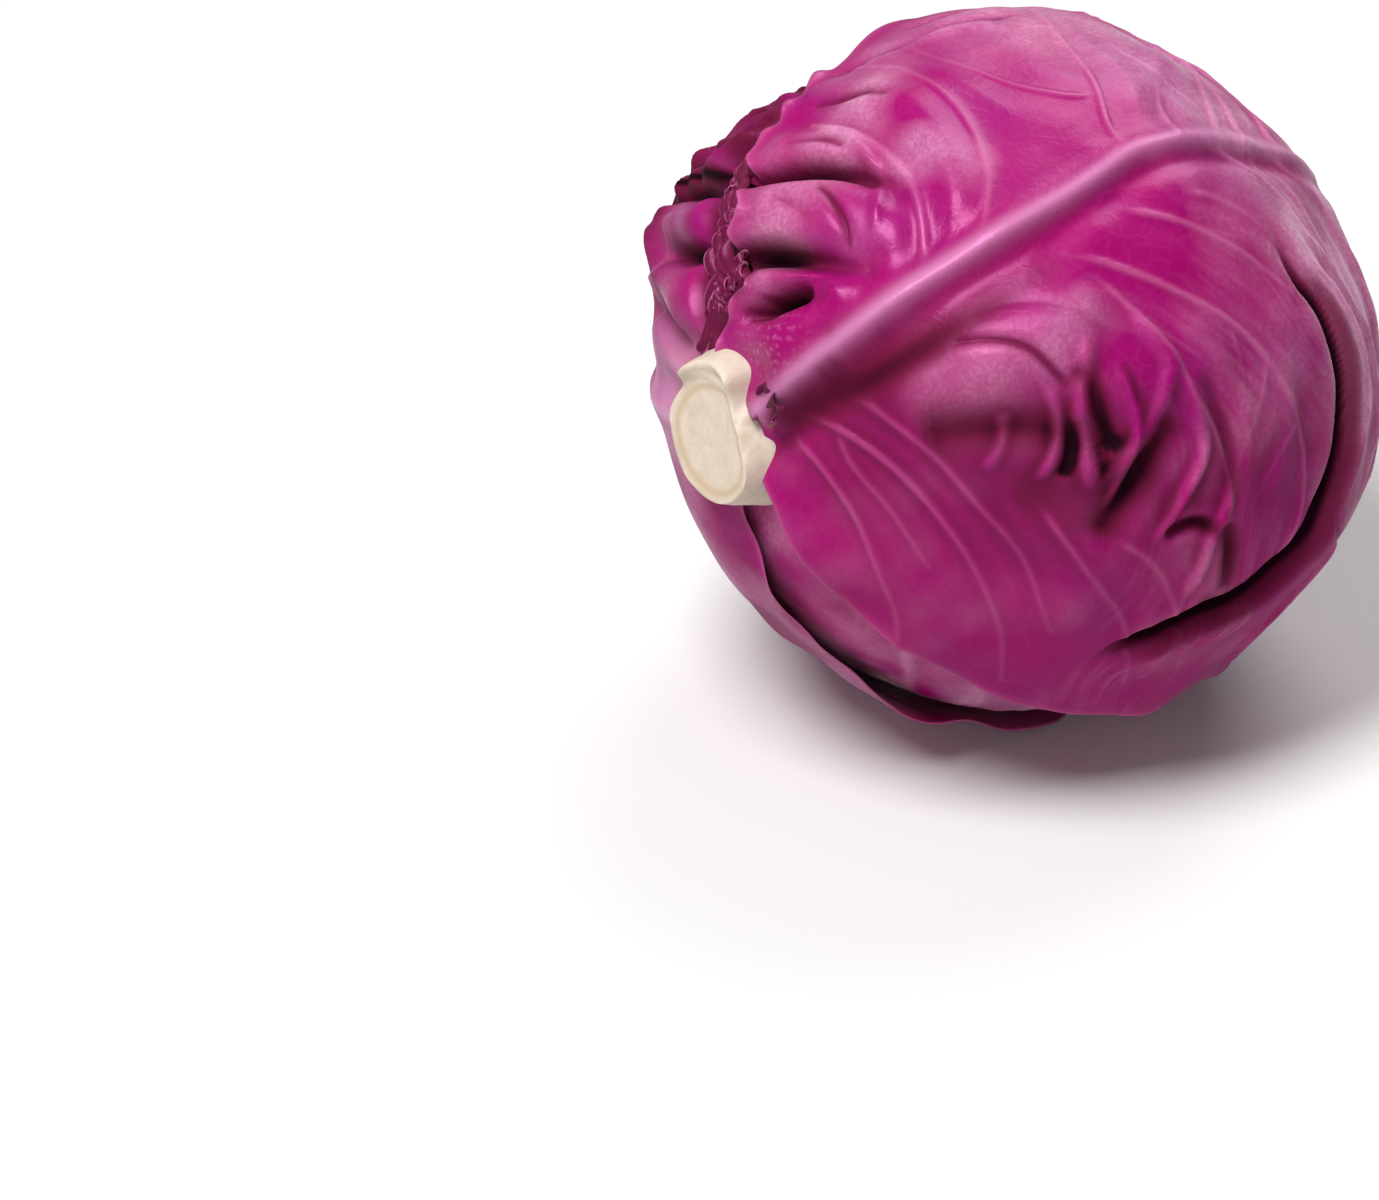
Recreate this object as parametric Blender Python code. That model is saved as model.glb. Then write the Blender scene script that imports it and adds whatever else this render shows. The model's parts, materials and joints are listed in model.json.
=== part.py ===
"""A head of red cabbage lying on its side, stem end a little raised.

The head is built as it grows: a cut stem that runs inside as a tapered core, leaves
set round it a golden angle apart, each a cupped shell inside the one before, and a
small closed heart above the tip of the core. Lengths are in metres, angles in degrees.
"""

import math

import bpy
import numpy as np

for old in list(bpy.data.objects):
    bpy.data.objects.remove(old, do_unlink=True)

# Driving dimensions
HEAD_RADIUS = 0.082
STEM_LIFT = 9.2
STEM_DIAMETER = 0.036
STEM_CHAMFER = 0.0022
STEM_HOLLOW = 0.0034
STUB_STRAIGHT = 0.014
CORE_TIP_HEIGHT = 0.0125
CORE_TIP_RADIUS = 0.0022
REST_HALF_ANGLE = 14.5
WRAPPER_COUNT = 6
WRAPPER_THICKNESS = 0.0011
WRAPPER_GAP = 0.0018
INNER_COUNT = 12
INNER_THICKNESS = 0.0020
HEART_RADIUS = 0.0085
HEART_GAP = 0.0012
FIRST_TURN = 33.0
GOLDEN_ANGLE = -137.5
LEAF_HALF_SPAN = 74.0
FIRST_LEAF_SPANS = (63.0, 100.0)
SECOND_LEAF_SPANS = (97.0, 76.0)
LEAF_TIP = 196.0
RIB_HEIGHT = 0.0026
RIB_WIDTH = 0.013
BASE_CLEARANCE = 0.0009
REMNANT_THICKNESS = 0.0010
REMNANT_LIFT = 0.0026
REMNANT_LENGTH = 0.0115
REMNANT_HALF_SPAN = 14.0
REMNANT_TURN = 58.0
STUB_FACET_DEPTH = 0.0014

LIFT = math.radians(STEM_LIFT)
TO_STEM = np.array([-math.cos(LIFT), 0.0, math.sin(LIFT)])
UPWARD = np.array([math.sin(LIFT), 0.0, math.cos(LIFT)])
SIDEWAYS = np.array([0.0, -1.0, 0.0])
WRAPPER_PITCH = WRAPPER_THICKNESS + WRAPPER_GAP
INNER_START = HEAD_RADIUS - WRAPPER_COUNT * WRAPPER_PITCH
INNER_PITCH = (INNER_START - HEART_RADIUS - HEART_GAP) / INNER_COUNT
# The wrapper grids are fine enough for a head of this radius, and finer in a larger one,
# so that the flat facets of one leaf stay clear of the next.
GRID_HEAD_RADIUS = 0.082
FINENESS = math.sqrt(HEAD_RADIUS / GRID_HEAD_RADIUS)


def head_radius(direction):
    """Distance from the middle of the head to its outside, pressed flat where it rests."""
    x, y, z = direction[..., 0], direction[..., 1], direction[..., 2]
    lumps = 0.009 * np.sin(3.1 * x + 1.3 * y + 0.7)
    lumps = lumps + 0.007 * np.sin(4.3 * y - 2.1 * z + 1.9)
    lumps = lumps + 0.005 * np.sin(5.2 * z + 3.3 * x + 0.4)
    from_stem = np.arccos(np.clip(direction @ TO_STEM, -1.0, 1.0))
    hollow = STEM_HOLLOW * np.exp(-((from_stem / math.radians(21.0)) ** 2))
    radius = HEAD_RADIUS * (1.0 + lumps) - hollow
    rest_height = HEAD_RADIUS * math.cos(math.radians(REST_HALF_ANGLE))
    return np.minimum(radius, rest_height / np.maximum(-z, 1e-6))


def leaf_direction(along, across, turn):
    """Unit vectors of points on a leaf: along its rib from the stem, and across from the rib.

    Up to the widest girth the sides follow the head's meridians. Past it they run on
    over the crown, so that a tip can lap over to the far side.
    """
    outward = math.cos(turn) * UPWARD + math.sin(turn) * SIDEWAYS
    lateral = -math.sin(turn) * UPWARD + math.cos(turn) * SIDEWAYS
    ca, sa = np.cos(along)[..., None], np.sin(along)[..., None]
    cb, sb = np.cos(across)[..., None], np.sin(across)[..., None]
    near = ca * TO_STEM + sa * (cb * outward + sb * lateral)
    far = cb * (ca * TO_STEM + sa * outward) + sb * lateral
    return np.where((along < math.pi / 2)[..., None], near, far)


def core_radius(height):
    """Radius of the stem and core at a height above the middle of the head."""
    foot = HEAD_RADIUS - STUB_STRAIGHT
    share = np.clip((height - CORE_TIP_HEIGHT) / (foot - CORE_TIP_HEIGHT), 0.0, 1.0)
    return CORE_TIP_RADIUS + (STEM_DIAMETER / 2 - CORE_TIP_RADIUS) * share**0.85


def base_angle(inside, outside):
    """The angle from the stem at which a leaf between these radii clears the core."""
    for step in range(40, 600):
        angle = math.radians(step * 0.1)
        clear = True
        for radius in (0.93 * inside, 0.5 * (inside + outside), 1.03 * outside):
            reach = radius * math.sin(angle)
            if reach < core_radius(radius * math.cos(angle)) + BASE_CLEARANCE:
                clear = False
        if clear:
            return angle
    raise ValueError("the leaf doesn't clear the core")


def shell(name, outer, inner):
    """The closed solid between two grids of points of one shape."""
    rows, columns = outer.shape[:2]
    count = rows * columns
    index = np.arange(count).reshape(rows, columns)
    faces = []
    for i in range(rows - 1):
        for j in range(columns - 1):
            a, b = index[i, j], index[i + 1, j]
            c, d = index[i + 1, j + 1], index[i, j + 1]
            if (i + j) % 2:
                faces += [(a, b, c), (a, c, d)]
                faces += [(a + count, c + count, b + count), (a + count, d + count, c + count)]
            else:
                faces += [(a, b, d), (b, c, d)]
                faces += [(a + count, d + count, b + count), (b + count, d + count, c + count)]
    rim = list(index[0, :-1]) + list(index[:-1, -1])
    rim += list(index[-1, :0:-1]) + list(index[:0:-1, 0])
    for start, end in zip(rim, rim[1:] + rim[:1]):
        faces += [(start, end, end + count), (start, end + count, start + count)]
    points = np.concatenate([outer.reshape(-1, 3), inner.reshape(-1, 3)])
    return name, points, outward_faces(points, np.array(faces))


def outward_faces(points, faces):
    """The faces, turned round if the solid came out inside out."""
    if np.linalg.det(points[faces]).sum() < 0:
        return faces[:, ::-1]
    return faces


def leaf(name, order, outside, thickness, rib, spans, tip, rows, columns):
    """One cupped leaf: spans are its half widths on the two sides of the rib."""
    half = math.radians(spans[0] + spans[1]) / 2
    rib_at = math.radians(spans[0] - spans[1]) / 2
    middle = math.radians(FIRST_TURN + GOLDEN_ANGLE * order) - rib_at
    inside = outside - thickness
    start = base_angle(inside, outside + rib)
    end = math.radians(tip)
    step = np.linspace(-1.0, 1.0, columns)
    step = step * (0.75 + 0.25 * step**2)
    side = np.where(step < 0, rib_at + step * (half + rib_at), rib_at + step * (half - rib_at)) / half
    share = np.linspace(0.0, 1.0, rows)[:, None] * np.ones(columns)
    reach = end - math.radians(9.0) * side**2
    along = start + (reach - start) * share
    past = np.clip((along - math.pi / 2) / (end - math.pi / 2), 0.0, 0.985)
    taper = (1.0 - past**2.6) ** (1 / 2.6)
    foot = 1.0 - 0.13 * np.exp(-((along - start) / math.radians(12.0)) ** 2)
    across = side * half * taper * foot
    direction = leaf_direction(along, across, middle)
    girth = np.minimum(along, math.pi / 2)
    offset = (across - rib_at * taper * foot) * np.sin(girth) * outside
    width = RIB_WIDTH * (0.5 - 0.32 * share)
    fade = np.clip((math.radians(128.0) - along) / math.radians(110.0), 0.0, 1.0)
    ridge = rib * fade**0.8 * np.exp(-((offset / width) ** 2))
    outer_radius = head_radius(direction) * outside / HEAD_RADIUS + ridge
    edge = 1.0 - 0.45 * side**4
    inner_radius = head_radius(direction) * outside / HEAD_RADIUS - thickness * edge
    outer = direction * outer_radius[..., None]
    inner = direction * inner_radius[..., None]
    return shell(name, outer, inner)


def ring(height, radius, segments, facet):
    """One ring of points round the stem's axis, cut in by up to facet on five sides."""
    angles = np.linspace(0.0, 2 * math.pi, segments, endpoint=False)
    radii = radius - facet * (0.5 + 0.5 * np.cos(5 * angles + 2.1))
    flat = np.cos(angles)[:, None] * UPWARD + np.sin(angles)[:, None] * SIDEWAYS
    return height * TO_STEM + radii[:, None] * flat


def turned(name, rings, first, last):
    """A closed solid through rings of points, with an end point at each end."""
    segments = len(rings[0])
    points = np.concatenate([*rings, [first, last]])
    low, high = len(points) - 2, len(points) - 1
    faces = []
    for j in range(segments):
        k = (j + 1) % segments
        faces.append((low, k, j))
        top = (len(rings) - 1) * segments
        faces.append((high, top + j, top + k))
        for i in range(len(rings) - 1):
            a, b = i * segments + j, i * segments + k
            faces += [(a, b, b + segments), (a, b + segments, a + segments)]
    return name, points, outward_faces(points, np.array(faces))


def stem_core():
    """The cut stub, its leaf scars, and the core that tapers up inside the head."""
    cut = HEAD_RADIUS
    foot = HEAD_RADIUS - STUB_STRAIGHT
    half = STEM_DIAMETER / 2
    facet = STUB_FACET_DEPTH
    rings = [ring(cut, 0.55 * (half - STEM_CHAMFER), 25, 0.3 * facet)]
    rings.append(ring(cut, half - STEM_CHAMFER, 25, facet))
    rings.append(ring(cut - 0.6 * STEM_CHAMFER, half - 0.25 * STEM_CHAMFER, 25, facet))
    rings.append(ring(cut - 1.6 * STEM_CHAMFER, half, 25, 0.6 * facet))
    for share in np.linspace(0.0, 1.0, 8):
        height = foot + (CORE_TIP_HEIGHT - foot) * share
        rings.append(ring(height, float(core_radius(height)), 25, 0.0))
    tip = (CORE_TIP_HEIGHT - 0.5 * CORE_TIP_RADIUS) * TO_STEM
    return turned("stem_core", rings, cut * TO_STEM, tip)


def heart():
    """The small closed bud in the middle, pointed towards the crown."""
    rings = []
    for angle in np.radians(np.linspace(20.0, 160.0, 7)):
        reach = HEART_RADIUS * math.cos(angle)
        rings.append(ring(reach, HEART_RADIUS * 0.92 * math.sin(angle), 14, 0.0))
    return turned("heart_bud", rings, HEART_RADIUS * TO_STEM, -HEART_RADIUS * TO_STEM)


def remnant():
    """What is left of a leaf torn off beside the stem, standing a little off the head."""
    start = base_angle(HEAD_RADIUS, HEAD_RADIUS + REMNANT_LIFT + REMNANT_THICKNESS)
    share = np.linspace(0.0, 1.0, 6)[:, None] * np.ones(7)
    side = np.ones(6)[:, None] * np.linspace(-1.0, 1.0, 7)
    length = REMNANT_LENGTH / HEAD_RADIUS
    along = start + length * share * (1.0 - 0.35 * side**2)
    across = math.radians(REMNANT_HALF_SPAN) * side * (1.0 - 0.45 * share)
    direction = leaf_direction(along, across, math.radians(REMNANT_TURN))
    base = head_radius(direction) + REMNANT_LIFT
    inner = direction * base[..., None]
    outer = direction * (base + REMNANT_THICKNESS)[..., None]
    return shell("torn_leaf_stub", outer, inner)


def all_pieces():
    """Every piece about the middle of the head."""
    pieces = [stem_core(), remnant()]
    grids = {0: (20, 21), 1: (22, 23)}
    spans = {0: FIRST_LEAF_SPANS, 1: SECOND_LEAF_SPANS}
    for order in range(WRAPPER_COUNT):
        rows, columns = (math.ceil(count * FINENESS) for count in grids.get(order, (16, 15)))
        sides = spans.get(order, (LEAF_HALF_SPAN, LEAF_HALF_SPAN))
        rib = RIB_HEIGHT if order == 0 else 0.2 * WRAPPER_GAP
        outside = HEAD_RADIUS - order * WRAPPER_PITCH
        tip = LEAF_TIP - 5.0 * (order % 3)
        name = f"leaf_{order + 1:02d}"
        thickness = WRAPPER_THICKNESS
        pieces.append(leaf(name, order, outside, thickness, rib, sides, tip, rows, columns))
    for inner in range(INNER_COUNT):
        order = WRAPPER_COUNT + inner
        outside = INNER_START - inner * INNER_PITCH
        rib = 0.35 * (INNER_PITCH - INNER_THICKNESS)
        tip = LEAF_TIP - 12.0 - 6.0 * (inner % 3)
        sides = (LEAF_HALF_SPAN - 3.0, LEAF_HALF_SPAN - 3.0)
        name = f"leaf_{order + 1:02d}"
        pieces.append(leaf(name, order, outside, INNER_THICKNESS, rib, sides, tip, 12, 9))
    pieces.append(heart())
    return pieces


def material(name, colour, roughness):
    made = bpy.data.materials.new(name)
    made.use_nodes = True
    shader = made.node_tree.nodes["Principled BSDF"]
    shader.inputs["Base Color"].default_value = (*colour, 1.0)
    shader.inputs["Roughness"].default_value = roughness
    made.diffuse_color = (*colour, 1.0)
    return made


def colour_of(name):
    if name == "stem_core":
        return (0.80, 0.72, 0.52)
    if name == "heart_bud":
        return (0.85, 0.78, 0.55)
    if name == "torn_leaf_stub":
        return (0.12, 0.02, 0.03)
    order = int(name.split("_")[1])
    fade = min(order, 10) / 10.0
    return (0.30 + 0.20 * fade, 0.02 + 0.06 * fade, 0.14 + 0.10 * fade)


def build():
    """Makes every piece, with the middle of the rest spot's box at the origin."""
    pieces = all_pieces()
    every = np.concatenate([points for _, points, _ in pieces])
    low, high = every.min(axis=0), every.max(axis=0)
    shift = -np.array([(low[0] + high[0]) / 2, (low[1] + high[1]) / 2, low[2]])
    for name, points, faces in pieces:
        mesh = bpy.data.meshes.new(name)
        mesh.from_pydata((points + shift).tolist(), [], faces.tolist())
        mesh.update()
        obj = bpy.data.objects.new(name, mesh)
        bpy.context.scene.collection.objects.link(obj)
        obj.data.materials.append(material(name, colour_of(name), 0.45))


build()
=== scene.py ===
"""A red cabbage head: fine leaf surfaces, materials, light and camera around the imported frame.

Every leaf is a thin shell over the head. Places on the head are written as two angles in
degrees: how far from the stem, and how far round the stem from the top, growing towards
the near side. Heights above a leaf's smooth shell are in millimetres.
"""

import json
import math

import bpy
import numpy as np
from mathutils import Matrix, Vector

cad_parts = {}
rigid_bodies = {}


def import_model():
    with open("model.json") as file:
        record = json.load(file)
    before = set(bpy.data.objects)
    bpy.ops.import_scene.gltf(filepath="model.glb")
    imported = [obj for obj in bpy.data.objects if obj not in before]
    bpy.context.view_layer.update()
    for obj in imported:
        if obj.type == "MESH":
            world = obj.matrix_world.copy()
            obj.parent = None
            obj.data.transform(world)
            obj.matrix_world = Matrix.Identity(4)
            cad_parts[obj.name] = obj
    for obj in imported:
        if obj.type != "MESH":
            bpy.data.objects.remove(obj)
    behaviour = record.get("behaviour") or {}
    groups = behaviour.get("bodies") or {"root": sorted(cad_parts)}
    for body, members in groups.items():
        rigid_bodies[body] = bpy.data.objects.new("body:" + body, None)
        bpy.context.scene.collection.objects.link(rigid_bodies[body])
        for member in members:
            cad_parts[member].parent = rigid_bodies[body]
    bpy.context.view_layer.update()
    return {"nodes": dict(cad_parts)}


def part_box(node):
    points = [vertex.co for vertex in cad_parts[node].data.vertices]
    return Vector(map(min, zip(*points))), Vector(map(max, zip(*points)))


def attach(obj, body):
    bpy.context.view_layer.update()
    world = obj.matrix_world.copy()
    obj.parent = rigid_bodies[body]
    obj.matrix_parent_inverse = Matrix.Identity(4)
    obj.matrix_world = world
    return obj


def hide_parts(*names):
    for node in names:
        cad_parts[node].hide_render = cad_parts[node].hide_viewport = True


for startup in list(bpy.data.objects):
    bpy.data.objects.remove(startup, do_unlink=True)

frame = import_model()

# The head's own directions, as in the CAD, and its middle and radius, from the CAD nodes
STEM_LIFT = math.radians(9.2)
TO_STEM = np.array([-math.cos(STEM_LIFT), 0.0, math.sin(STEM_LIFT)])
UPWARD = np.array([math.sin(STEM_LIFT), 0.0, math.cos(STEM_LIFT)])
SIDEWAYS = np.array([0.0, -1.0, 0.0])
CENTRE = np.array([(low + high) / 2 for low, high in zip(*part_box("heart_bud"))])
STEM_POINTS = np.array([vertex.co for vertex in frame["nodes"]["stem_core"].data.vertices])
HEAD_RADIUS = float(((STEM_POINTS - CENTRE) @ TO_STEM).max())
MM = 1000.0
HEAD_MM = HEAD_RADIUS * MM

# The head isn't round: places in degrees, their radius in degrees and their height in mm
SWELLS = [
    (68.0, -30.0, 22.0, -3.4), (112.0, 10.0, 26.0, -2.6), (38.0, -78.0, 20.0, 4.2),
    (22.0, -98.0, 14.0, 2.0), (118.0, 42.0, 20.0, -2.0), (104.0, 100.0, 20.0, 1.2),
    (150.0, 150.0, 34.0, -1.6), (95.0, -110.0, 34.0, 1.0),
]

# How the leaves are laid, as in the CAD
STEM_HOLLOW = 0.0034
REST_HALF_ANGLE = math.radians(14.5)
FIRST_TURN = 33.0
GOLDEN_ANGLE = -137.5
WRAPPER_COUNT = 6
WRAPPER_PITCH = 0.0029
INNER_COUNT = 12
HEART_RADIUS = 0.0085
HEART_GAP = 0.0012
INNER_START = HEAD_RADIUS - WRAPPER_COUNT * WRAPPER_PITCH
INNER_PITCH = (INNER_START - HEART_RADIUS - HEART_GAP) / INNER_COUNT

# The fine leaves: thickness in mm, and how thin and how wide a leaf's thinned rim is
SHEET_MM = 0.9
INNER_SHEET_MM = 1.3
RIM_SHARE = 0.42
RIM_MM = 7.0
# Gaps in metres: under each wrapper, and between a leaf and the floor
ROOM_GAP = 0.00035
FLOOR_GAP = 0.00005
# A leaf's outline: how far its corners stay back, and how square its tip is
CORNER_RETREAT = math.radians(9.0)
TIP_SQUARENESS = 2.6
# Side veins end at this share of the leaf's half width, and bend by this power
VEIN_REACH = 0.93
VEIN_BEND = 1.1
# Spacing of the points of a curve, in head radii; and a distance in mm past every vein
CURVE_STEP = 0.0055
FAR_MM = 99.0
# The height over its neighbourhood, in mm, that counts as a full ridge
RIDGE_MM = 0.5


# ---------------------------------------------------------------- the head's surface


def head_radius(direction):
    """Distance from the middle of the head to its smooth outside, as in the CAD."""
    x, y, z = direction[..., 0], direction[..., 1], direction[..., 2]
    lumps = 0.009 * np.sin(3.1 * x + 1.3 * y + 0.7)
    lumps = lumps + 0.007 * np.sin(4.3 * y - 2.1 * z + 1.9)
    lumps = lumps + 0.005 * np.sin(5.2 * z + 3.3 * x + 0.4)
    from_stem = np.arccos(np.clip(direction @ TO_STEM, -1.0, 1.0))
    hollow = STEM_HOLLOW * bell(from_stem, math.radians(21.0))
    radius = HEAD_RADIUS * (1.0 + lumps) - hollow
    rest_height = HEAD_RADIUS * math.cos(REST_HALF_ANGLE)
    return np.minimum(radius, rest_height / np.maximum(-z, 1e-6))


def outline(direction):
    """How far every leaf bulges or sinks with the whole head, in mm."""
    total = 0.0
    for from_stem, around, radius, amount in SWELLS:
        total = total + amount * blob(direction, from_stem, around, radius)
    return total


def polar(from_stem, around):
    """Unit vectors of places given by the two angles, in radians."""
    ca, sa = np.cos(from_stem)[..., None], np.sin(from_stem)[..., None]
    cb, sb = np.cos(around)[..., None], np.sin(around)[..., None]
    return ca * TO_STEM + sa * (cb * UPWARD + sb * SIDEWAYS)


def angles_of(direction):
    """The two angles of unit vectors, in degrees."""
    from_stem = np.degrees(np.arccos(np.clip(direction @ TO_STEM, -1.0, 1.0)))
    around = np.degrees(np.arctan2(direction @ SIDEWAYS, direction @ UPWARD))
    return from_stem, around


def leaf_direction(along, across, middle):
    """Unit vectors of places on a leaf: along from the stem and over the crown, and across."""
    outward = math.cos(middle) * UPWARD + math.sin(middle) * SIDEWAYS
    lateral = -math.sin(middle) * UPWARD + math.cos(middle) * SIDEWAYS
    ca, sa = np.cos(along)[..., None], np.sin(along)[..., None]
    cb, sb = np.cos(across)[..., None], np.sin(across)[..., None]
    near = ca * TO_STEM + sa * (cb * outward + sb * lateral)
    far = cb * (ca * TO_STEM + sa * outward) + sb * lateral
    return np.where((along < math.pi / 2)[..., None], near, far)


def smooth_step(low, high, value):
    """From 0 at the low value to 1 at the high one, without a kink."""
    share = np.clip((value - low) / (high - low), 0.0, 1.0)
    return share * share * (3.0 - 2.0 * share)


def bell(value, width):
    """1 where the value is 0, falling softly to both sides."""
    return np.exp(-((value / width) ** 2))


def grid(down, over):
    """A grid's two coordinates, from the values down its rows and over its columns."""
    return np.meshgrid(down, over, indexing="ij")


def noise(direction, wavelength, seed, waves=14):
    """Smooth noise over the head, mostly between -1.5 and 1.5, with its wavelength in mm."""
    random = np.random.default_rng(seed)
    total = 0.0
    for _ in range(waves):
        wave = random.normal(size=3)
        pitch = 2 * math.pi * HEAD_MM / (wavelength * random.uniform(0.75, 1.5))
        wave *= pitch / np.linalg.norm(wave)
        total = total + np.sin(direction @ wave + random.uniform(0.0, 2 * math.pi))
    return total / math.sqrt(waves / 2)


def curve_through(points):
    """A smooth curve over the head through unit vectors, as closely spaced unit vectors."""
    points = np.asarray(points, float)
    ends = 2 * points[0] - points[1], 2 * points[-1] - points[-2]
    padded = np.vstack([ends[0], points, ends[1]])
    made = []
    for a, b, c, d in zip(padded, padded[1:], padded[2:], padded[3:]):
        count = max(3, int(np.linalg.norm(c - b) / CURVE_STEP))
        t = np.linspace(0.0, 1.0, count, endpoint=False)[:, None]
        made.append(
            0.5 * (2 * b + (c - a) * t + (2 * a - 5 * b + 4 * c - d) * t**2
                   + (3 * b - a - 3 * c + d) * t**3)
        )
    made.append(points[-1:])
    curve = np.vstack(made)
    return curve / np.linalg.norm(curve, axis=1)[:, None]


def line(*places):
    """The smooth curve through places given as pairs of angles in degrees."""
    pairs = np.radians(np.array(places, float))
    return curve_through(polar(pairs[:, 0], pairs[:, 1]))


def measure(direction, curve):
    """Each point's distance to a curve in mm, its signed side distance, and the share along."""
    flat = direction.reshape(-1, 3).astype(np.float32)
    near32 = curve.astype(np.float32)
    nearest = np.empty(len(flat), np.int64)
    batch = 16384
    for start in range(0, len(flat), batch):
        part = flat[start : start + batch]
        nearest[start : start + batch] = np.argmax(part @ near32.T, axis=1)
    tangent = np.gradient(curve, axis=0)
    tangent /= np.linalg.norm(tangent, axis=1)[:, None]
    sideways = np.cross(curve, tangent)
    gap = flat - curve[nearest]
    lateral = np.einsum("ij,ij->i", gap, sideways[nearest])
    forward = np.einsum("ij,ij->i", gap, tangent[nearest])
    at_end = (nearest == 0) | (nearest == len(curve) - 1)
    away = np.where(at_end, np.hypot(lateral, forward), np.abs(lateral))
    shape = direction.shape[:-1]
    share = nearest / (len(curve) - 1)
    return (away * HEAD_MM).reshape(shape), (lateral * HEAD_MM).reshape(shape), share.reshape(shape)


def blob(direction, from_stem, around, radius):
    """A soft round spot, 1 in its middle; all in degrees."""
    middle = polar(np.radians(float(from_stem)), np.radians(float(around)))
    apart = np.degrees(np.arccos(np.clip(direction @ middle, -1.0, 1.0)))
    return bell(apart, radius)


# ---------------------------------------------------------------- leaves


class Room:
    """How much room the leaves laid so far leave beneath them, kept on the six faces of a cube."""

    SIZE = 150

    def __init__(self):
        self.free = np.full((6, self.SIZE, self.SIZE), 1.0)

    def cells(self, direction):
        flat = direction.reshape(-1, 3)
        axis = np.argmax(np.abs(flat), axis=1)
        row = np.arange(len(flat))
        major = flat[row, axis]
        first = flat[row, (axis + 1) % 3] / np.abs(major)
        second = flat[row, (axis + 2) % 3] / np.abs(major)
        spots = [((value + 1.0) / 2 * self.SIZE).astype(int) for value in (first, second)]
        return 2 * axis + (major > 0), *np.clip(spots, 0, self.SIZE - 1)

    def lay(self, direction, radius):
        """Takes up room down to this radius, at a grid's points and halfway between them."""
        np.minimum.at(self.free, self.cells(direction), radius.ravel())
        rows, columns = radius.shape
        for down, over in ((0, 1), (1, 0), (1, 1)):
            there = slice(down, rows - 1 + down), slice(over, columns - 1 + over)
            middle = direction[:-1, :-1] + direction[there]
            middle /= np.linalg.norm(middle, axis=-1)[..., None]
            level = np.minimum(radius[:-1, :-1], radius[there])
            np.minimum.at(self.free, self.cells(middle), level.ravel())

    def spread(self):
        """The room with its low places widened by about a millimetre."""
        wide = self.free.copy()
        for down in (-1, 0, 1):
            for over in (-1, 0, 1):
                padded = np.pad(self.free, ((0, 0), (1, 1), (1, 1)), mode="edge")
                moved = padded[:, 1 + down : 1 + down + self.SIZE, 1 + over : 1 + over + self.SIZE]
                wide = np.minimum(wide, moved)
        return wide

    def limit(self, direction, radius):
        """The radius pressed down to where there is room."""
        return np.minimum(radius, self.spread()[self.cells(direction)].reshape(radius.shape))


def blank_masks(shape):
    return {name: np.zeros(shape) for name in MASKS}


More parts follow.
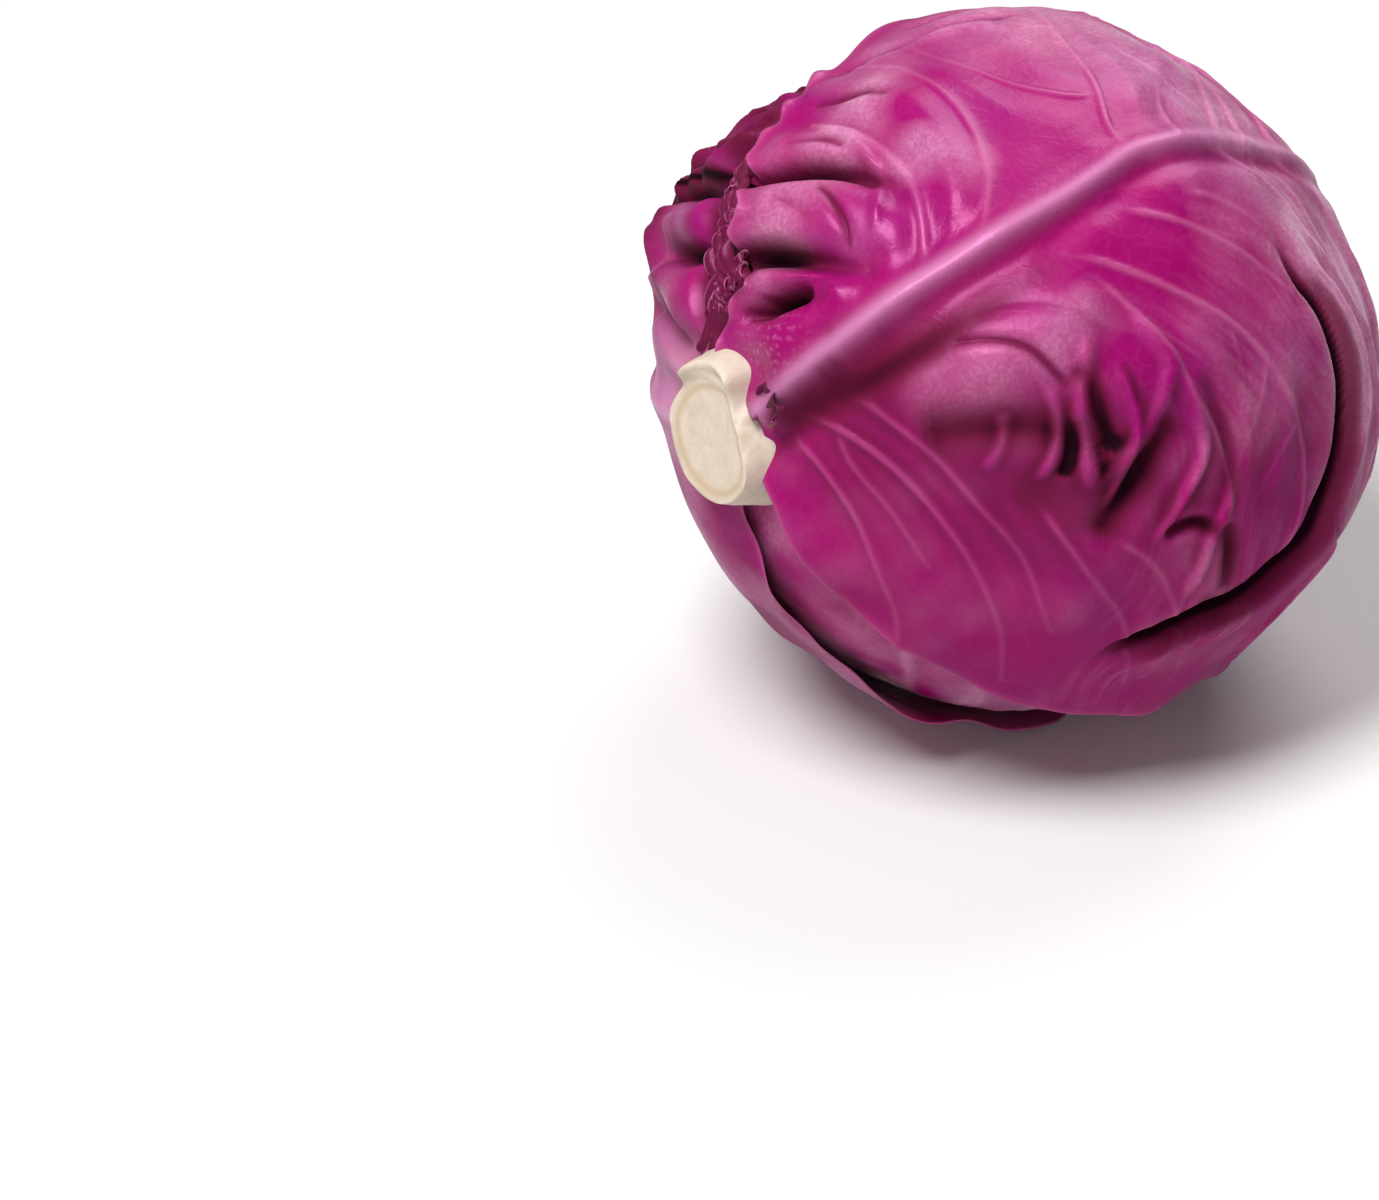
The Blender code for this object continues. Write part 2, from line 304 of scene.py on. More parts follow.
class Leaf:
    """A grid over one leaf, its height field and its colour masks."""

    def __init__(self, order, outside, spans, tip, rows, columns, left=None, foot_at=12.4):
        self.outside = outside
        self.half = math.radians(spans[0] + spans[1]) / 2
        self.rib_at = math.radians(spans[0] - spans[1]) / 2
        self.middle = math.radians(FIRST_TURN + GOLDEN_ANGLE * order) - self.rib_at
        self.end = math.radians(tip)
        self.start = math.radians(foot_at)
        share, side = grid(np.linspace(0.0, 1.0, rows), np.linspace(-1.0, 1.0, columns))
        reach = self.end - CORNER_RETREAT * side**2
        self.along = self.start + (reach - self.start) * share
        self.side = side
        self.left = left
        self.across = side * self.half_span(self.along, side)
        self.direction = leaf_direction(self.along, self.across, self.middle)
        self.from_stem, self.around = angles_of(self.direction)
        self.height = np.zeros((rows, columns))
        self.vein_gap = np.full((rows, columns), FAR_MM)
        self.mask = blank_masks((rows, columns))
        girth = np.sin(np.minimum(self.along, math.pi / 2))
        sides = (1.0 - np.abs(side)) * self.half * girth * HEAD_MM * outside / HEAD_RADIUS
        tips = (reach - self.along) * HEAD_MM
        self.margin = np.minimum(sides, tips)

    def half_span(self, along, side):
        """Half the leaf's width in radians, on the side asked for."""
        past = np.clip((along - math.pi / 2) / (self.end - math.pi / 2), 0.0, 0.985)
        taper = (1.0 - past**TIP_SQUARENESS) ** (1 / TIP_SQUARENESS)
        foot = 1.0 - 0.13 * bell(along - self.start, math.radians(12.0))
        plain = self.half * taper * foot
        if self.left is None:
            return plain
        degrees, places = np.radians(np.array(self.left, float)).T
        edge = np.interp(along, degrees, self.middle - places) * taper
        return np.where(side < 0, edge, plain)

    def place(self, along, across):
        """Unit vectors of places on this leaf, from along in degrees and across from -1 to 1."""
        along = np.radians(np.asarray(along, float))
        across = np.asarray(across, float)
        span = self.half_span(along, across)
        rib = self.rib_at / self.half
        shifted = np.where(across < 0, rib + across * (1.0 + rib), rib + across * (1.0 - rib))
        return leaf_direction(along, shifted * span, self.middle)

    def paint(self, name, amount):
        """Raises a colour mask to at least this amount."""
        self.mask[name] = np.maximum(self.mask[name], np.clip(amount, 0.0, 1.0))

    def vein(self, curve, height, width, pale=0.7, fade=0.7):
        """A raised vein that thins towards the end of its curve."""
        away, _, share = measure(self.direction, curve)
        left = (1.0 - fade * share) * (0.1 + 0.9 * smooth_step(0.0, 0.12, share))
        wide = 0.62 * width * (1.0 - 0.4 * share)
        self.height += 0.55 * height * left * bell(away, wide)
        self.height += 0.35 * height * left * bell(away, 3.2 * wide)
        shade = pale * left * bell(away, 0.7 * wide)
        self.paint("vein", shade)
        self.vein_gap = np.minimum(self.vein_gap, away + 2.0 * share)

    def midrib(self, curve, height, width, groove=1.0):
        """The thick rib, steeper and grooved on the near side, that sinks in past the girth."""
        away, lateral, share = measure(self.direction, curve)
        left = np.clip(1.02 - share, 0.0, 1.0) ** 0.8
        reach = width * (0.45 + 0.55 * left)
        wide = np.where(lateral > 0, 1.35, 0.8) * reach
        self.height += height * left * bell(away, wide)
        dip = bell(lateral + 1.75 * reach, 0.9 * reach) * (lateral < 0)
        self.height -= groove * left * dip
        crest = bell(away, 0.85 * reach)
        lit = bell(lateral - 0.3 * reach, 1.15 * reach)
        # Painted highlight: the crest, most on its lit upper side, goes lilac through the rib mask.
        self.paint("rib", crest * lit * (0.2 + 0.8 * left))
        self.vein_gap = np.minimum(self.vein_gap, away)

    def valley(self, curve, depth, width, dark=0.8, peak=0.5, spread=0.6, sharp=1.4):
        """A crease whose depth is greatest at a share of its length."""
        away, _, share = measure(self.direction, curve)
        strength = bell(share - peak, spread) * smooth_step(1.0, 0.84, share)
        if peak >= 0.45:
            strength = strength * smooth_step(0.0, 0.16, share)
        shape = np.exp(-((away / width) ** sharp))
        self.height -= depth * strength * shape
        # Painted shade along the crease.
        self.paint("dark", dark * strength * bell(away, 1.15 * width))
        return away

    def fold(self, curve, height, width):
        """A soft ridge without a vein, fading at both ends."""
        away, _, share = measure(self.direction, curve)
        ends = smooth_step(0.0, 0.2, share) * smooth_step(1.0, 0.8, share)
        self.height += height * ends * bell(away, width)

    def side_veins(self, count, height, width, seed, first=30.0, last=128.0, sides=(-1, 1)):
        """Paired veins that leave the midrib, lean towards the tip and fork."""
        random = np.random.default_rng(seed)
        for sign in sides:
            for start in np.linspace(first, last, count):
                lean = random.uniform(24.0, 34.0)
                start = start + random.uniform(-3.5, 3.5)
                t = np.linspace(0.0, 1.0, 9)
                wander = 2.2 * np.sin(2.3 * math.pi * t + random.uniform(0.0, 6.0)) * t
                across = sign * VEIN_REACH * t**VEIN_BEND
                along = np.minimum(start + lean * t**0.8 + wander, 176.0)
                self.vein(curve_through(self.place(along, across)), height, width, 0.55)
                for fork_at, turn in ((0.34, 1.0), (0.58, -1.0), (0.74, 1.0)):
                    fork_at += random.uniform(-0.06, 0.06)
                    split = np.linspace(0.0, 1.0, 5)
                    fork_out = fork_at + (0.97 - fork_at) * split
                    fork_across = sign * VEIN_REACH * fork_out**VEIN_BEND
                    base = start + lean * fork_at**0.8
                    fork_along = base + turn * 9.0 * split + 0.5 * lean * split
                    fork_along = np.minimum(fork_along, 178.0)
                    fork = curve_through(self.place(fork_along, fork_across))
                    self.vein(fork, 0.55 * height, 0.7 * width, 0.35)

    def quilt(self, height, reach=7.5):
        """The leaf swells between its veins."""
        self.height += height * (1.0 - bell(self.vein_gap, reach))

    def ruffle(self, lift, wave, reach, wavelength, seed, where=1.0):
        """Lifts and waves the leaf along its margin."""
        near = np.exp(-self.margin / reach) * where
        self.height += near * (lift + wave * noise(self.direction, wavelength, seed))

    def relief(self, cells=8):
        """How far each place stands above its neighbourhood, from -1 in a crease to 1 on a ridge."""
        kernel = np.hanning(2 * cells + 3)[1:-1]
        kernel /= kernel.sum()
        level = self.height
        for axis in (0, 1):
            padded = np.pad(level, [(cells, cells) if k == axis else (0, 0) for k in (0, 1)], mode="edge")
            level = np.apply_along_axis(np.convolve, axis, padded, kernel, mode="valid")
        return np.clip((self.height - level) / RIDGE_MM, -1.0, 1.0)

    def radii(self):
        """The outside surface's distance from the middle of the head, pressed flat below."""
        down = np.maximum(-self.direction[..., 2], 1e-6)
        share = self.outside / HEAD_RADIUS
        smooth = head_radius(self.direction) * share
        radius = smooth + (self.height + outline(self.direction) * share) / MM
        floor = (CENTRE[2] - self.floor_gap()) / down
        return ROOM.limit(self.direction, np.minimum(radius, floor))

    def floor_gap(self):
        """How far above the floor this leaf's flat stays."""
        second = HEAD_RADIUS - WRAPPER_PITCH
        return max(0.0, (second - self.outside) * math.cos(REST_HALF_ANGLE)) + FLOOR_GAP

    def shell(self, thickness):
        """Outer and inner grids of points; the rim is thin."""
        radius = self.radii()
        rim = RIM_SHARE + (1.0 - RIM_SHARE) * smooth_step(0.0, RIM_MM, self.margin)
        thin = thickness * rim / MM
        outer = CENTRE + self.direction * radius[..., None]
        inner = CENTRE + self.direction * (radius - thin)[..., None]
        if self.outside > INNER_START:
            ROOM.lay(self.direction, radius - thin - ROOM_GAP)
        return outer, inner


# Colour masks: veins, bloom with painted highlights, painted shade, rib highlight and lilac, dried leaf,
# pale base.
MASKS = ("vein", "bloom_and_highlight", "dark", "rib", "dry", "base")
ROOM = Room()


def shell_mesh(outer, inner):
    """Points and quads of the closed shell between two grids."""
    rows, columns = outer.shape[:2]
    count = rows * columns
    index = np.arange(count).reshape(rows, columns)
    a, b, c, d = index[:-1, :-1], index[1:, :-1], index[1:, 1:], index[:-1, 1:]
    top = np.stack([a, b, c, d], axis=-1).reshape(-1, 4)
    rim = np.concatenate([index[0, :-1], index[:-1, -1], index[-1, :0:-1], index[:0:-1, 0]])
    following = np.roll(rim, -1)
    wall = np.stack([rim, following, following + count, rim + count], axis=-1)
    points = np.concatenate([outer.reshape(-1, 3), inner.reshape(-1, 3)])
    quads = np.concatenate([top, top[:, ::-1] + count, wall])
    first, second, third = (points[quads[:, corner]] - CENTRE for corner in range(3))
    volume = np.einsum("ij,ij->", first, np.cross(second, third))
    return points, quads if volume > 0 else quads[:, ::-1]


def add_object(name, data):
    made = bpy.data.objects.new(name, data)
    bpy.context.scene.collection.objects.link(made)
    return made


def add_mesh(name, parts, material):
    """One object from (points, quads, masks) parts, with the masks kept as two colours."""
    points = np.concatenate([part[0] for part in parts])
    offsets = np.cumsum([0] + [len(part[0]) for part in parts[:-1]])
    quads = np.concatenate([part[1] + offset for part, offset in zip(parts, offsets)])
    mesh = bpy.data.meshes.new(name)
    mesh.vertices.add(len(points))
    mesh.vertices.foreach_set("co", points.astype(np.float32).ravel())
    mesh.loops.add(quads.size)
    mesh.loops.foreach_set("vertex_index", quads.astype(np.int32).ravel())
    mesh.polygons.add(len(quads))
    mesh.polygons.foreach_set("loop_start", np.arange(0, quads.size, 4, dtype=np.int32))
    mesh.update(calc_edges=True)
    for label, names in (("tone", MASKS[:3]), ("kind", MASKS[3:])):
        colour = np.ones((len(points), 4), np.float32)
        for channel, mask in enumerate(names):
            colour[:, channel] = np.concatenate([part[2][mask] for part in parts])
        attribute = mesh.attributes.new(label, "FLOAT_COLOR", "POINT")
        attribute.data.foreach_set("color", np.clip(colour, 0.0, 1.0).ravel())
    mesh.validate()
    mesh.shade_smooth()
    mesh.materials.append(material)
    return add_object(name, mesh)


def leaf_part(leaf, thickness=SHEET_MM):
    """One leaf's points, quads and masks, for add_mesh."""
    points, quads = shell_mesh(*leaf.shell(thickness))
    masks = {name: np.tile(mask.ravel(), 2) for name, mask in leaf.mask.items()}
    return points, quads, masks


def stand_for(piece, node):
    """The piece takes the CAD node's place."""
    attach(piece, "root")
    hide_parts(node)


# ---------------------------------------------------------------- materials


def nodes_of(name):
    material = bpy.data.materials.new(name)
    material.use_nodes = True
    tree = material.node_tree
    return material, tree, tree.nodes["Principled BSDF"]


def node(tree, kind, **settings):
    made = tree.nodes.new(kind)
    for key, value in settings.items():
        setattr(made, key, value)
    return made


def feed(tree, socket, value):
    """Gives a socket a link, a colour or a number."""
    if isinstance(value, bpy.types.NodeSocket):
        tree.links.new(value, socket)
    elif isinstance(value, tuple):
        socket.default_value = (*value, 1.0)
    else:
        socket.default_value = value


def set_inputs(made, **values):
    """Sets inputs whose names are written with underscores."""
    for name, value in values.items():
        made.inputs[name.replace("_", " ")].default_value = value


def mix(tree, factor, first, second):
    """A colour between two; each input is a socket or a colour."""
    made = node(tree, "ShaderNodeMix", data_type="RGBA")
    for socket, value in ((made.inputs[0], factor), (made.inputs[6], first), (made.inputs[7], second)):
        feed(tree, socket, value)
    return made.outputs[2]


def layers(tree, tint, *coats):
    """Colours laid over one another; each coat is an amount and a colour."""
    for amount, paint in coats:
        tint = mix(tree, amount, tint, paint)
    return tint


def maths(tree, operation, first, second=0.0, clamp=False):
    made = node(tree, "ShaderNodeMath", operation=operation, use_clamp=clamp)
    for socket, value in zip(made.inputs, (first, second)):
        feed(tree, socket, value)
    return made.outputs[0]


def times(tree, value, factor):
    return maths(tree, "MULTIPLY", value, factor)


def ramp(tree, value, low, high, to_low=0.0, to_high=1.0):
    made = node(tree, "ShaderNodeMapRange", interpolation_type="SMOOTHSTEP")
    tree.links.new(value, made.inputs[0])
    for socket, setting in zip(made.inputs[1:5], (low, high, to_low, to_high)):
        socket.default_value = setting
    return made.outputs[0]


def channels(tree, attribute):
    source = node(tree, "ShaderNodeAttribute", attribute_name=attribute)
    split = node(tree, "ShaderNodeSeparateColor")
    tree.links.new(source.outputs["Color"], split.inputs[0])
    return split.outputs


def cloudy(tree, place, scale, output=0, **inputs):
    """A noise texture's output."""
    made = node(tree, "ShaderNodeTexNoise")
    tree.links.new(place, made.inputs["Vector"])
    set_inputs(made, Scale=scale, **inputs)
    return made.outputs[output]


def bump(tree, shader, height, strength, distance):
    """Fine relief in the shader's normal."""
    made = node(tree, "ShaderNodeBump")
    set_inputs(made, Strength=strength, Distance=distance)
    tree.links.new(height, made.inputs["Height"])
    tree.links.new(made.outputs[0], shader.inputs["Normal"])


def colour(red, green, blue):
    """A linear colour from 0 to 255 display values."""
    return tuple(((value / 255.0 + 0.055) / 1.055) ** 2.4 if value > 10 else value / 3294.6
                 for value in (red, green, blue))


def vein_net(tree, place):
    """Fine threads round small uneven cells, 1 on a thread."""
    bent = node(tree, "ShaderNodeVectorMath", operation="MULTIPLY_ADD")
    tree.links.new(cloudy(tree, place, 160.0, "Color", Detail=2.0), bent.inputs[0])
    bent.inputs[1].default_value = (0.0035, 0.0035, 0.0035)
    tree.links.new(place, bent.inputs[2])
    net = node(tree, "ShaderNodeTexVoronoi", feature="DISTANCE_TO_EDGE")
    set_inputs(net, Scale=210.0)
    tree.links.new(bent.outputs[0], net.inputs["Vector"])
    return ramp(tree, net.outputs["Distance"], 0.0, 0.10, 1.0, 0.0)


def leaf_material(name, magenta, bloom_and_highlight_pink, roughness=0.36):
    """Waxy cabbage leaf: magenta, patchy bloom, painted highlights and shade, pale veins, fine vein net."""
    material, tree, shader = nodes_of(name)
    place = node(tree, "ShaderNodeTexCoord").outputs["Object"]
    vein, bloom_and_highlight, dark = channels(tree, "tone")[:3]
    rib, dry, base = channels(tree, "kind")[:3]
    cloud = cloudy(tree, place, 70.0, Detail=5.0, Roughness=0.6)
    speck = cloudy(tree, place, 900.0, Detail=3.0, Roughness=0.65)
    patches = cloudy(tree, place, 38.0, Detail=2.0)
    grain = cloudy(tree, place, 420.0, Detail=4.0, Roughness=0.55)
    threads = vein_net(tree, place)
    patchy = maths(tree, "MULTIPLY", bloom_and_highlight, ramp(tree, cloud, 0.25, 0.72, 0.55, 1.25), clamp=True)
    speckled = maths(tree, "MULTIPLY", patchy, ramp(tree, speck, 0.35, 0.72, 0.7, 1.2), clamp=True)
    tint = layers(
        tree, magenta,
        # The bloom mask lays on waxy bloom and painted highlights.
        (speckled, bloom_and_highlight_pink),
        (ramp(tree, patches, 0.42, 0.68, 0.0, 0.24), VIOLET),
        (times(tree, threads, 0.035), VEIN_PINK),
        (times(tree, vein, 0.62), VEIN_PINK),
        # Painted highlight on the midribs' crests; lilac base of the second leaf.
        (times(tree, rib, 0.75), LILAC_AND_RIB_HIGHLIGHT),
        (times(tree, dry, ramp(tree, cloud, 0.2, 0.8, 0.75, 1.0)), MAROON),
        # Painted shade from the dark mask: burgundy, then near-black.
        (ramp(tree, dark, 0.0, 0.7, 0.0, 0.95), PAINTED_SHADE_BURGUNDY),
        (ramp(tree, dark, 0.58, 1.0, 0.0, 0.97), PAINTED_CREASE_SHADOW),
        (base, PALE_BASE),
    )
    tree.links.new(tint, shader.inputs["Base Color"])
    clouded = ramp(tree, cloud, 0.2, 0.8, roughness - 0.05, roughness + 0.06)
    rough = maths(tree, "ADD", times(tree, speckled, 0.14), clouded)
    rough = maths(tree, "ADD", rough, times(tree, dark, 0.12))
    tree.links.new(rough, shader.inputs["Roughness"])
    bump(tree, shader, maths(tree, "ADD", times(tree, threads, 0.12), grain), 0.22, 0.0006)
    tree.links.new(ramp(tree, dark, 0.15, 0.8, 0.52, 0.03), shader.inputs["Specular IOR Level"])
    tree.links.new(times(tree, speckled, 0.5), shader.inputs["Sheen Weight"])
    set_inputs(shader, Specular_Tint=(1.0, 0.4, 0.78, 1.0), Sheen_Roughness=0.4,
               Sheen_Tint=(1.0, 0.86, 0.95, 1.0), Subsurface_Weight=0.05,
               Subsurface_Radius=(1.0, 0.3, 0.5), Subsurface_Scale=0.002)
    return material


def stem_material():
    """Cut cabbage stem: ivory flesh with a tan ring, faint fibres and damp patches."""
    material, tree, shader = nodes_of("stem_flesh")
    place = node(tree, "ShaderNodeTexCoord").outputs["Object"]
    tan, shade, brown = channels(tree, "tone")[:3]
    cloud = cloudy(tree, place, 130.0, Detail=6.0, Roughness=0.65)
    fine = cloudy(tree, place, 1100.0, Detail=3.0)
    tint = layers(
        tree, IVORY,
        (ramp(tree, cloud, 0.3, 0.7), DULL_IVORY),
        (ramp(tree, fine, 0.45, 0.8, 0.0, 0.35), FIBRE),
        (shade, BLUSH),
        (times(tree, tan, 0.7), TAN),
        (times(tree, brown, 0.8), BROWN),
    )
    tree.links.new(tint, shader.inputs["Base Color"])
    tree.links.new(ramp(tree, cloud, 0.3, 0.7, 0.48, 0.66), shader.inputs["Roughness"])
    bump(tree, shader, maths(tree, "ADD", cloud, times(tree, fine, 0.4)), 0.35, 0.0005)
    set_inputs(shader, Subsurface_Weight=0.2, Subsurface_Radius=(1.0, 0.7, 0.4), Subsurface_Scale=0.003)
    return material


def floor_material():
    """Plain near-white paper."""
    material, tree, shader = nodes_of("floor_paper")
    place = node(tree, "ShaderNodeTexCoord").outputs["Object"]
    cloud = cloudy(tree, place, 6.0, Detail=3.0)
    tint = mix(tree, cloud, (0.78, 0.78, 0.78), (0.82, 0.82, 0.82))
    tree.links.new(tint, shader.inputs["Base Color"])
    set_inputs(shader, Roughness=0.75)
    return material


MAGENTA = colour(152, 0, 96)
# Pale pink of the waxy bloom, also used for painted highlights.
BLOOM_AND_HIGHLIGHT_PINK = colour(200, 128, 166)
VIOLET = colour(124, 8, 112)
VEIN_PINK = colour(190, 96, 142)
# Lilac: painted highlight on the midribs' crests, and the second leaf's lilac base.
LILAC_AND_RIB_HIGHLIGHT = colour(206, 140, 184)
# Painted shade: burgundy, and near-black in the deepest creases.
PAINTED_SHADE_BURGUNDY = colour(98, 20, 50)
PAINTED_CREASE_SHADOW = colour(22, 6, 14)
MAROON = colour(86, 14, 42)
PALE_BASE = colour(206, 150, 172)
INNER_MAGENTA = colour(140, 10, 90)
INNER_DUSTY = colour(206, 140, 180)
IVORY = colour(218, 204, 188)
DULL_IVORY = colour(202, 186, 166)
FIBRE = colour(186, 166, 142)
BLUSH = colour(226, 205, 196)
TAN = colour(192, 162, 126)
BROWN = colour(120, 84, 60)

OUTER = leaf_material("outer_leaf_skin", MAGENTA, BLOOM_AND_HIGHLIGHT_PINK)
INNER = leaf_material("inner_leaf_skin", INNER_MAGENTA, INNER_DUSTY, 0.42)
STEM = stem_material()


# ---------------------------------------------------------------- the outermost leaf

# The leaf's edge along the ruffled seam, and the two arched veins beside it
SEAM = [(8, -28), (13, -26), (16.5, -24), (18.5, -17), (21.5, -16), (23.5, -9), (26, -12), (28, -22),
        (31, -23.5), (35, -21), (38, -26), (41, -27), (45, -31), (52, -31), (60, -31.5), (75, -33),
        (90, -34.5)]
ARC_ONE = line((45, 32), (48, 25), (50.7, 17), (52, 8.5), (52.6, -0.5), (52.7, -9), (52.5, -20))
ARC_TWO = line((55, 32), (58.5, 27.5), (61.5, 22), (64, 15), (65.7, 7.4), (66.7, 0), (67.2, -8),
               (68, -15), (68, -26))


def first_leaf():
    """The leaf that faces the viewer, from the ruffled seam over to the deep fold by the crown."""
    leaf = Leaf(0, HEAD_RADIUS, (63.0, 100.0), 196.0, 460, 430, left=SEAM, foot_at=6.8)
    where, from_stem = leaf.direction, leaf.from_stem
    leaf.midrib(line((10, 44), (17, 40.5), (24, 38.5), (32, 37), (41.4, 35.4), (50.2, 34.4), (59.1, 33.6),
                     (68.2, 32.3), (76.2, 30.4), (83.6, 28.6), (91.7, 28), (101.3, 27.8),
                     (112, 28.2), (123, 28.4), (140, 27), (158, 25)), 4.6, 4.2, 1.6)
    # A crease under the rib's near side, its darkness painted shade.
    leaf.valley(line((14, 58), (24, 53), (33, 50.5), (43, 47.5), (52, 44.8), (61, 42.5), (70, 40)),
                1.6, 4.4, 0.75, 0.35, 0.5, 2.0)
    upper_side(leaf)
    near_side(leaf)
    leaf.side_veins(4, 1.1, 1.7, 31, first=112.0, last=150.0)
    leaf.quilt(0.9)
    gathered_lobes(leaf)
    deep_fold(leaf)
    leaf.height += 0.6 * noise(where, 46.0, 11) + 0.22 * noise(where, 19.0, 12)
    seam_side = smooth_step(0.0, -0.5, leaf.side) * smooth_step(75.0, 60.0, from_stem)
    leaf.ruffle(1.2, 0.8, 2.0, 8.0, 13, seam_side)
    leaf.ruffle(0.6, 0.8, 3.5, 24.0, 14, 1.0 - seam_side)
    first_leaf_colours(leaf)
    return leaf


def upper_side(leaf):
    """Veins and panels between the midrib and the top of the head."""
    leaf.vein(ARC_ONE, 1.7, 2.2, 0.7, 0.4)
    leaf.vein(ARC_TWO, 1.0, 1.9, 0.7, 0.4)
    leaf.fold(line((50, 31), (54.5, 25), (58, 17), (60, 8), (61, -1), (60.5, -10), (59, -20)), 1.8, 5.5)
    leaf.height -= 1.3 * blob(leaf.direction, 71, 16, 9.0) + 0.8 * blob(leaf.direction, 76, 4, 10.0)
    leaf.vein(line((84, 27), (84, 22), (86.5, 15.5), (89, 8.5), (92, -1), (95.5, -10.5), (98, -22)),
              1.0, 1.6, 0.95)
    leaf.vein(line((86.5, 15.5), (81.5, 13.5), (77, 8), (74.5, 0.5), (73, -8), (74, -17)), 0.9, 1.5, 0.7)
    leaf.vein(line((102.5, 27.5), (107, 23), (110, 16.5), (114, 8), (118, -2), (120, -14)), 0.9, 1.5, 0.95)
    leaf.vein(line((106, 22), (101, 14), (99, 5), (99, -6)), 0.5, 1.1, 0.6)
    leaf.vein(line((94, 28), (96, 20), (100, 14)), 0.5, 1.1, 0.6)
    leaf.vein(line((120, 28), (124, 18), (129, 8), (132, -6)), 0.7, 1.4, 0.8)
    leaf.fold(line((88, 22), (95, 16), (103, 10), (112, 2)), 0.8, 5.0)
    leaf.valley(line((64, -31), (70.5, -26), (74.3, -21), (81.6, -18), (87.3, -14), (93.1, -11)),
                2.4, 2.2, 0.45)
    leaf.fold(line((68, -27), (75, -19), (82, -13), (88, -8)), 1.3, 3.0)
    leaf.valley(line((57, -27), (60, -14), (61.5, -4)), 1.8, 2.0, 0.35)
    leaf.valley(line((80, -28), (86, -24), (94, -22), (102, -18)), 1.4, 2.4, 0.2)


def near_side(leaf):
    """Veins, soft folds and hollows between the midrib and the deep fold."""
    where = leaf.direction
    leaf.vein(line((66, 41), (72.6, 45.6), (82, 52.6), (89.8, 59), (95.2, 65.7), (100, 74.6), (102.8, 84),
                   (102.6, 93.4), (99, 100)), 1.1, 1.7, 0.95, 0.4)
    leaf.vein(line((68.7, 46), (73.3, 53.9), (77.7, 62), (80.2, 69), (83.9, 75), (87, 83), (87, 87.5)),
              0.9, 1.5, 0.8, 0.4)
    leaf.fold(line((86.8, 84), (86.9, 87.5), (84.3, 93.5), (83.7, 98), (82, 105)), 1.6, 1.5)
    leaf.vein(line((78, 37), (86.5, 41.7), (91.6, 45), (98, 50), (104.3, 56.4)), 0.9, 1.5, 0.9, 0.4)
    leaf.vein(line((90, 37), (97, 40), (103, 45), (108.5, 52)), 0.6, 1.3, 0.7)
    leaf.vein(line((98, 28), (108, 33), (115, 41), (119, 51)), 0.8, 1.4, 0.8)
    leaf.vein(line((110, 28), (122, 32), (132, 40), (140, 56)), 0.6, 1.2, 0.7)
    leaf.vein(line((89, 59), (90, 66), (88.5, 73)), 0.4, 1.0, 0.4)
    leaf.vein(line((95, 66), (93.7, 70), (89.7, 77), (88, 84)), 0.5, 1.1, 0.45)
    leaf.vein(line((100.8, 76), (97, 80.5), (93, 87.5)), 0.5, 1.1, 0.45)
    leaf.fold(line((72, 52), (76.6, 61.9), (75.5, 66.5), (72.3, 72.7), (67.6, 78.4), (65, 84)), 1.7, 2.2)
    leaf.fold(line((78, 63), (80.6, 70), (81.5, 78), (78.6, 84.6), (75.7, 91)), 1.4, 2.2)
    leaf.fold(line((65, 54), (63.2, 62), (61.6, 69.4), (62.3, 78), (63.4, 84)), 1.8, 1.9)
    leaf.fold(line((84, 60), (88, 68), (90, 78), (89, 87)), 0.8, 2.8)
    leaf.fold(line((96, 62), (99, 70), (98, 80), (95, 90)), 0.8, 3.0)
    leaf.fold(line((68, 60), (69.5, 66), (70, 73), (68, 80), (65, 88)), 1.3, 1.2)
    leaf.fold(line((57, 62), (58, 68), (57.5, 75), (54, 82)), 1.2, 1.4)
    leaf.fold(line((82, 74), (81, 80), (78, 86), (74, 94)), 1.1, 1.2)
    leaf.fold(line((50, 66), (49, 73), (46, 80)), 1.0, 1.6)
    for place, radius, amount in (((60, 54.5), 7.0, 2.6), ((49, 57.5), 6.5, 2.8), ((38, 58), 6.0, 1.6),
                                  ((66, 51), 4.0, 1.0), ((88, 48), 8.0, 0.8)):
        leaf.height += amount * blob(where, *place, radius)
    leaf.height -= 2.2 * blob(where, 50, 76, 12.0) + 1.2 * blob(where, 68, 86, 10.0)
    for hidden, height in (
        (line((13, 54), (22, 66), (33, 82), (44, 98), (54, 114), (60, 128)), 1.3),
        (line((12, 66), (19, 86), (28, 104), (38, 122), (44, 134)), 1.1),
        (line((55, 86), (64, 98), (74, 110), (80, 124)), 1.0),
        (line((24, 52), (30, 62), (38, 76), (46, 88), (54, 98), (62, 112)), 0.9),
        (line((22, 66), (24, 80), (32, 94), (40, 106)), 0.6),
        (line((68, 92), (76, 98), (84, 110), (90, 122)), 0.8),
    ):
        leaf.vein(hidden, height, 1.8, 0.55, 0.4)
    leaf.valley(line((43, 49.5), (50.5, 52), (55.5, 55.5), (58.8, 61), (61, 65)), 1.5, 1.2, 0.3)
    leaf.valley(line((47, 45.5), (54, 46), (60, 48.5), (65, 53), (69.5, 58)), 0.5, 1.8, 0.15)
    # Hollows on the near side, painted dark as shade in their creases.
    for curve, depth, width, dark in (
        (line((34, 70), (41, 70), (47, 70), (53, 70), (60, 73), (65, 78)), 2.6, 5.0, 0.5),
        (line((62, 59), (63.8, 64.4), (65, 69.3), (66.8, 77)), 1.9, 2.6, 0.62),
        (line((69, 61), (70, 65), (70.5, 69.5)), 0.5, 1.3, 0.35),
        (line((78, 70), (75, 74), (71, 80), (67.5, 86), (64, 94)), 2.8, 4.4, 0.62),
        (line((75.5, 92), (81, 90), (86.5, 92)), 2.0, 1.6, 0.65),
        (line((87, 90), (89.5, 97), (90.5, 105)), 2.2, 2.6, 0.7),
        (line((58, 81), (60.6, 74), (61.2, 69)), 1.3, 1.8, 0.45),
        (line((82, 64), (86, 76), (87.5, 86)), 0.8, 2.2, 0.3),
        (line((84, 104), (90, 106), (97, 103), (103, 98)), 1.2, 3.0, 0.6),
    ):
        leaf.valley(curve, depth, width, dark, 0.5, 0.6, 1.8)


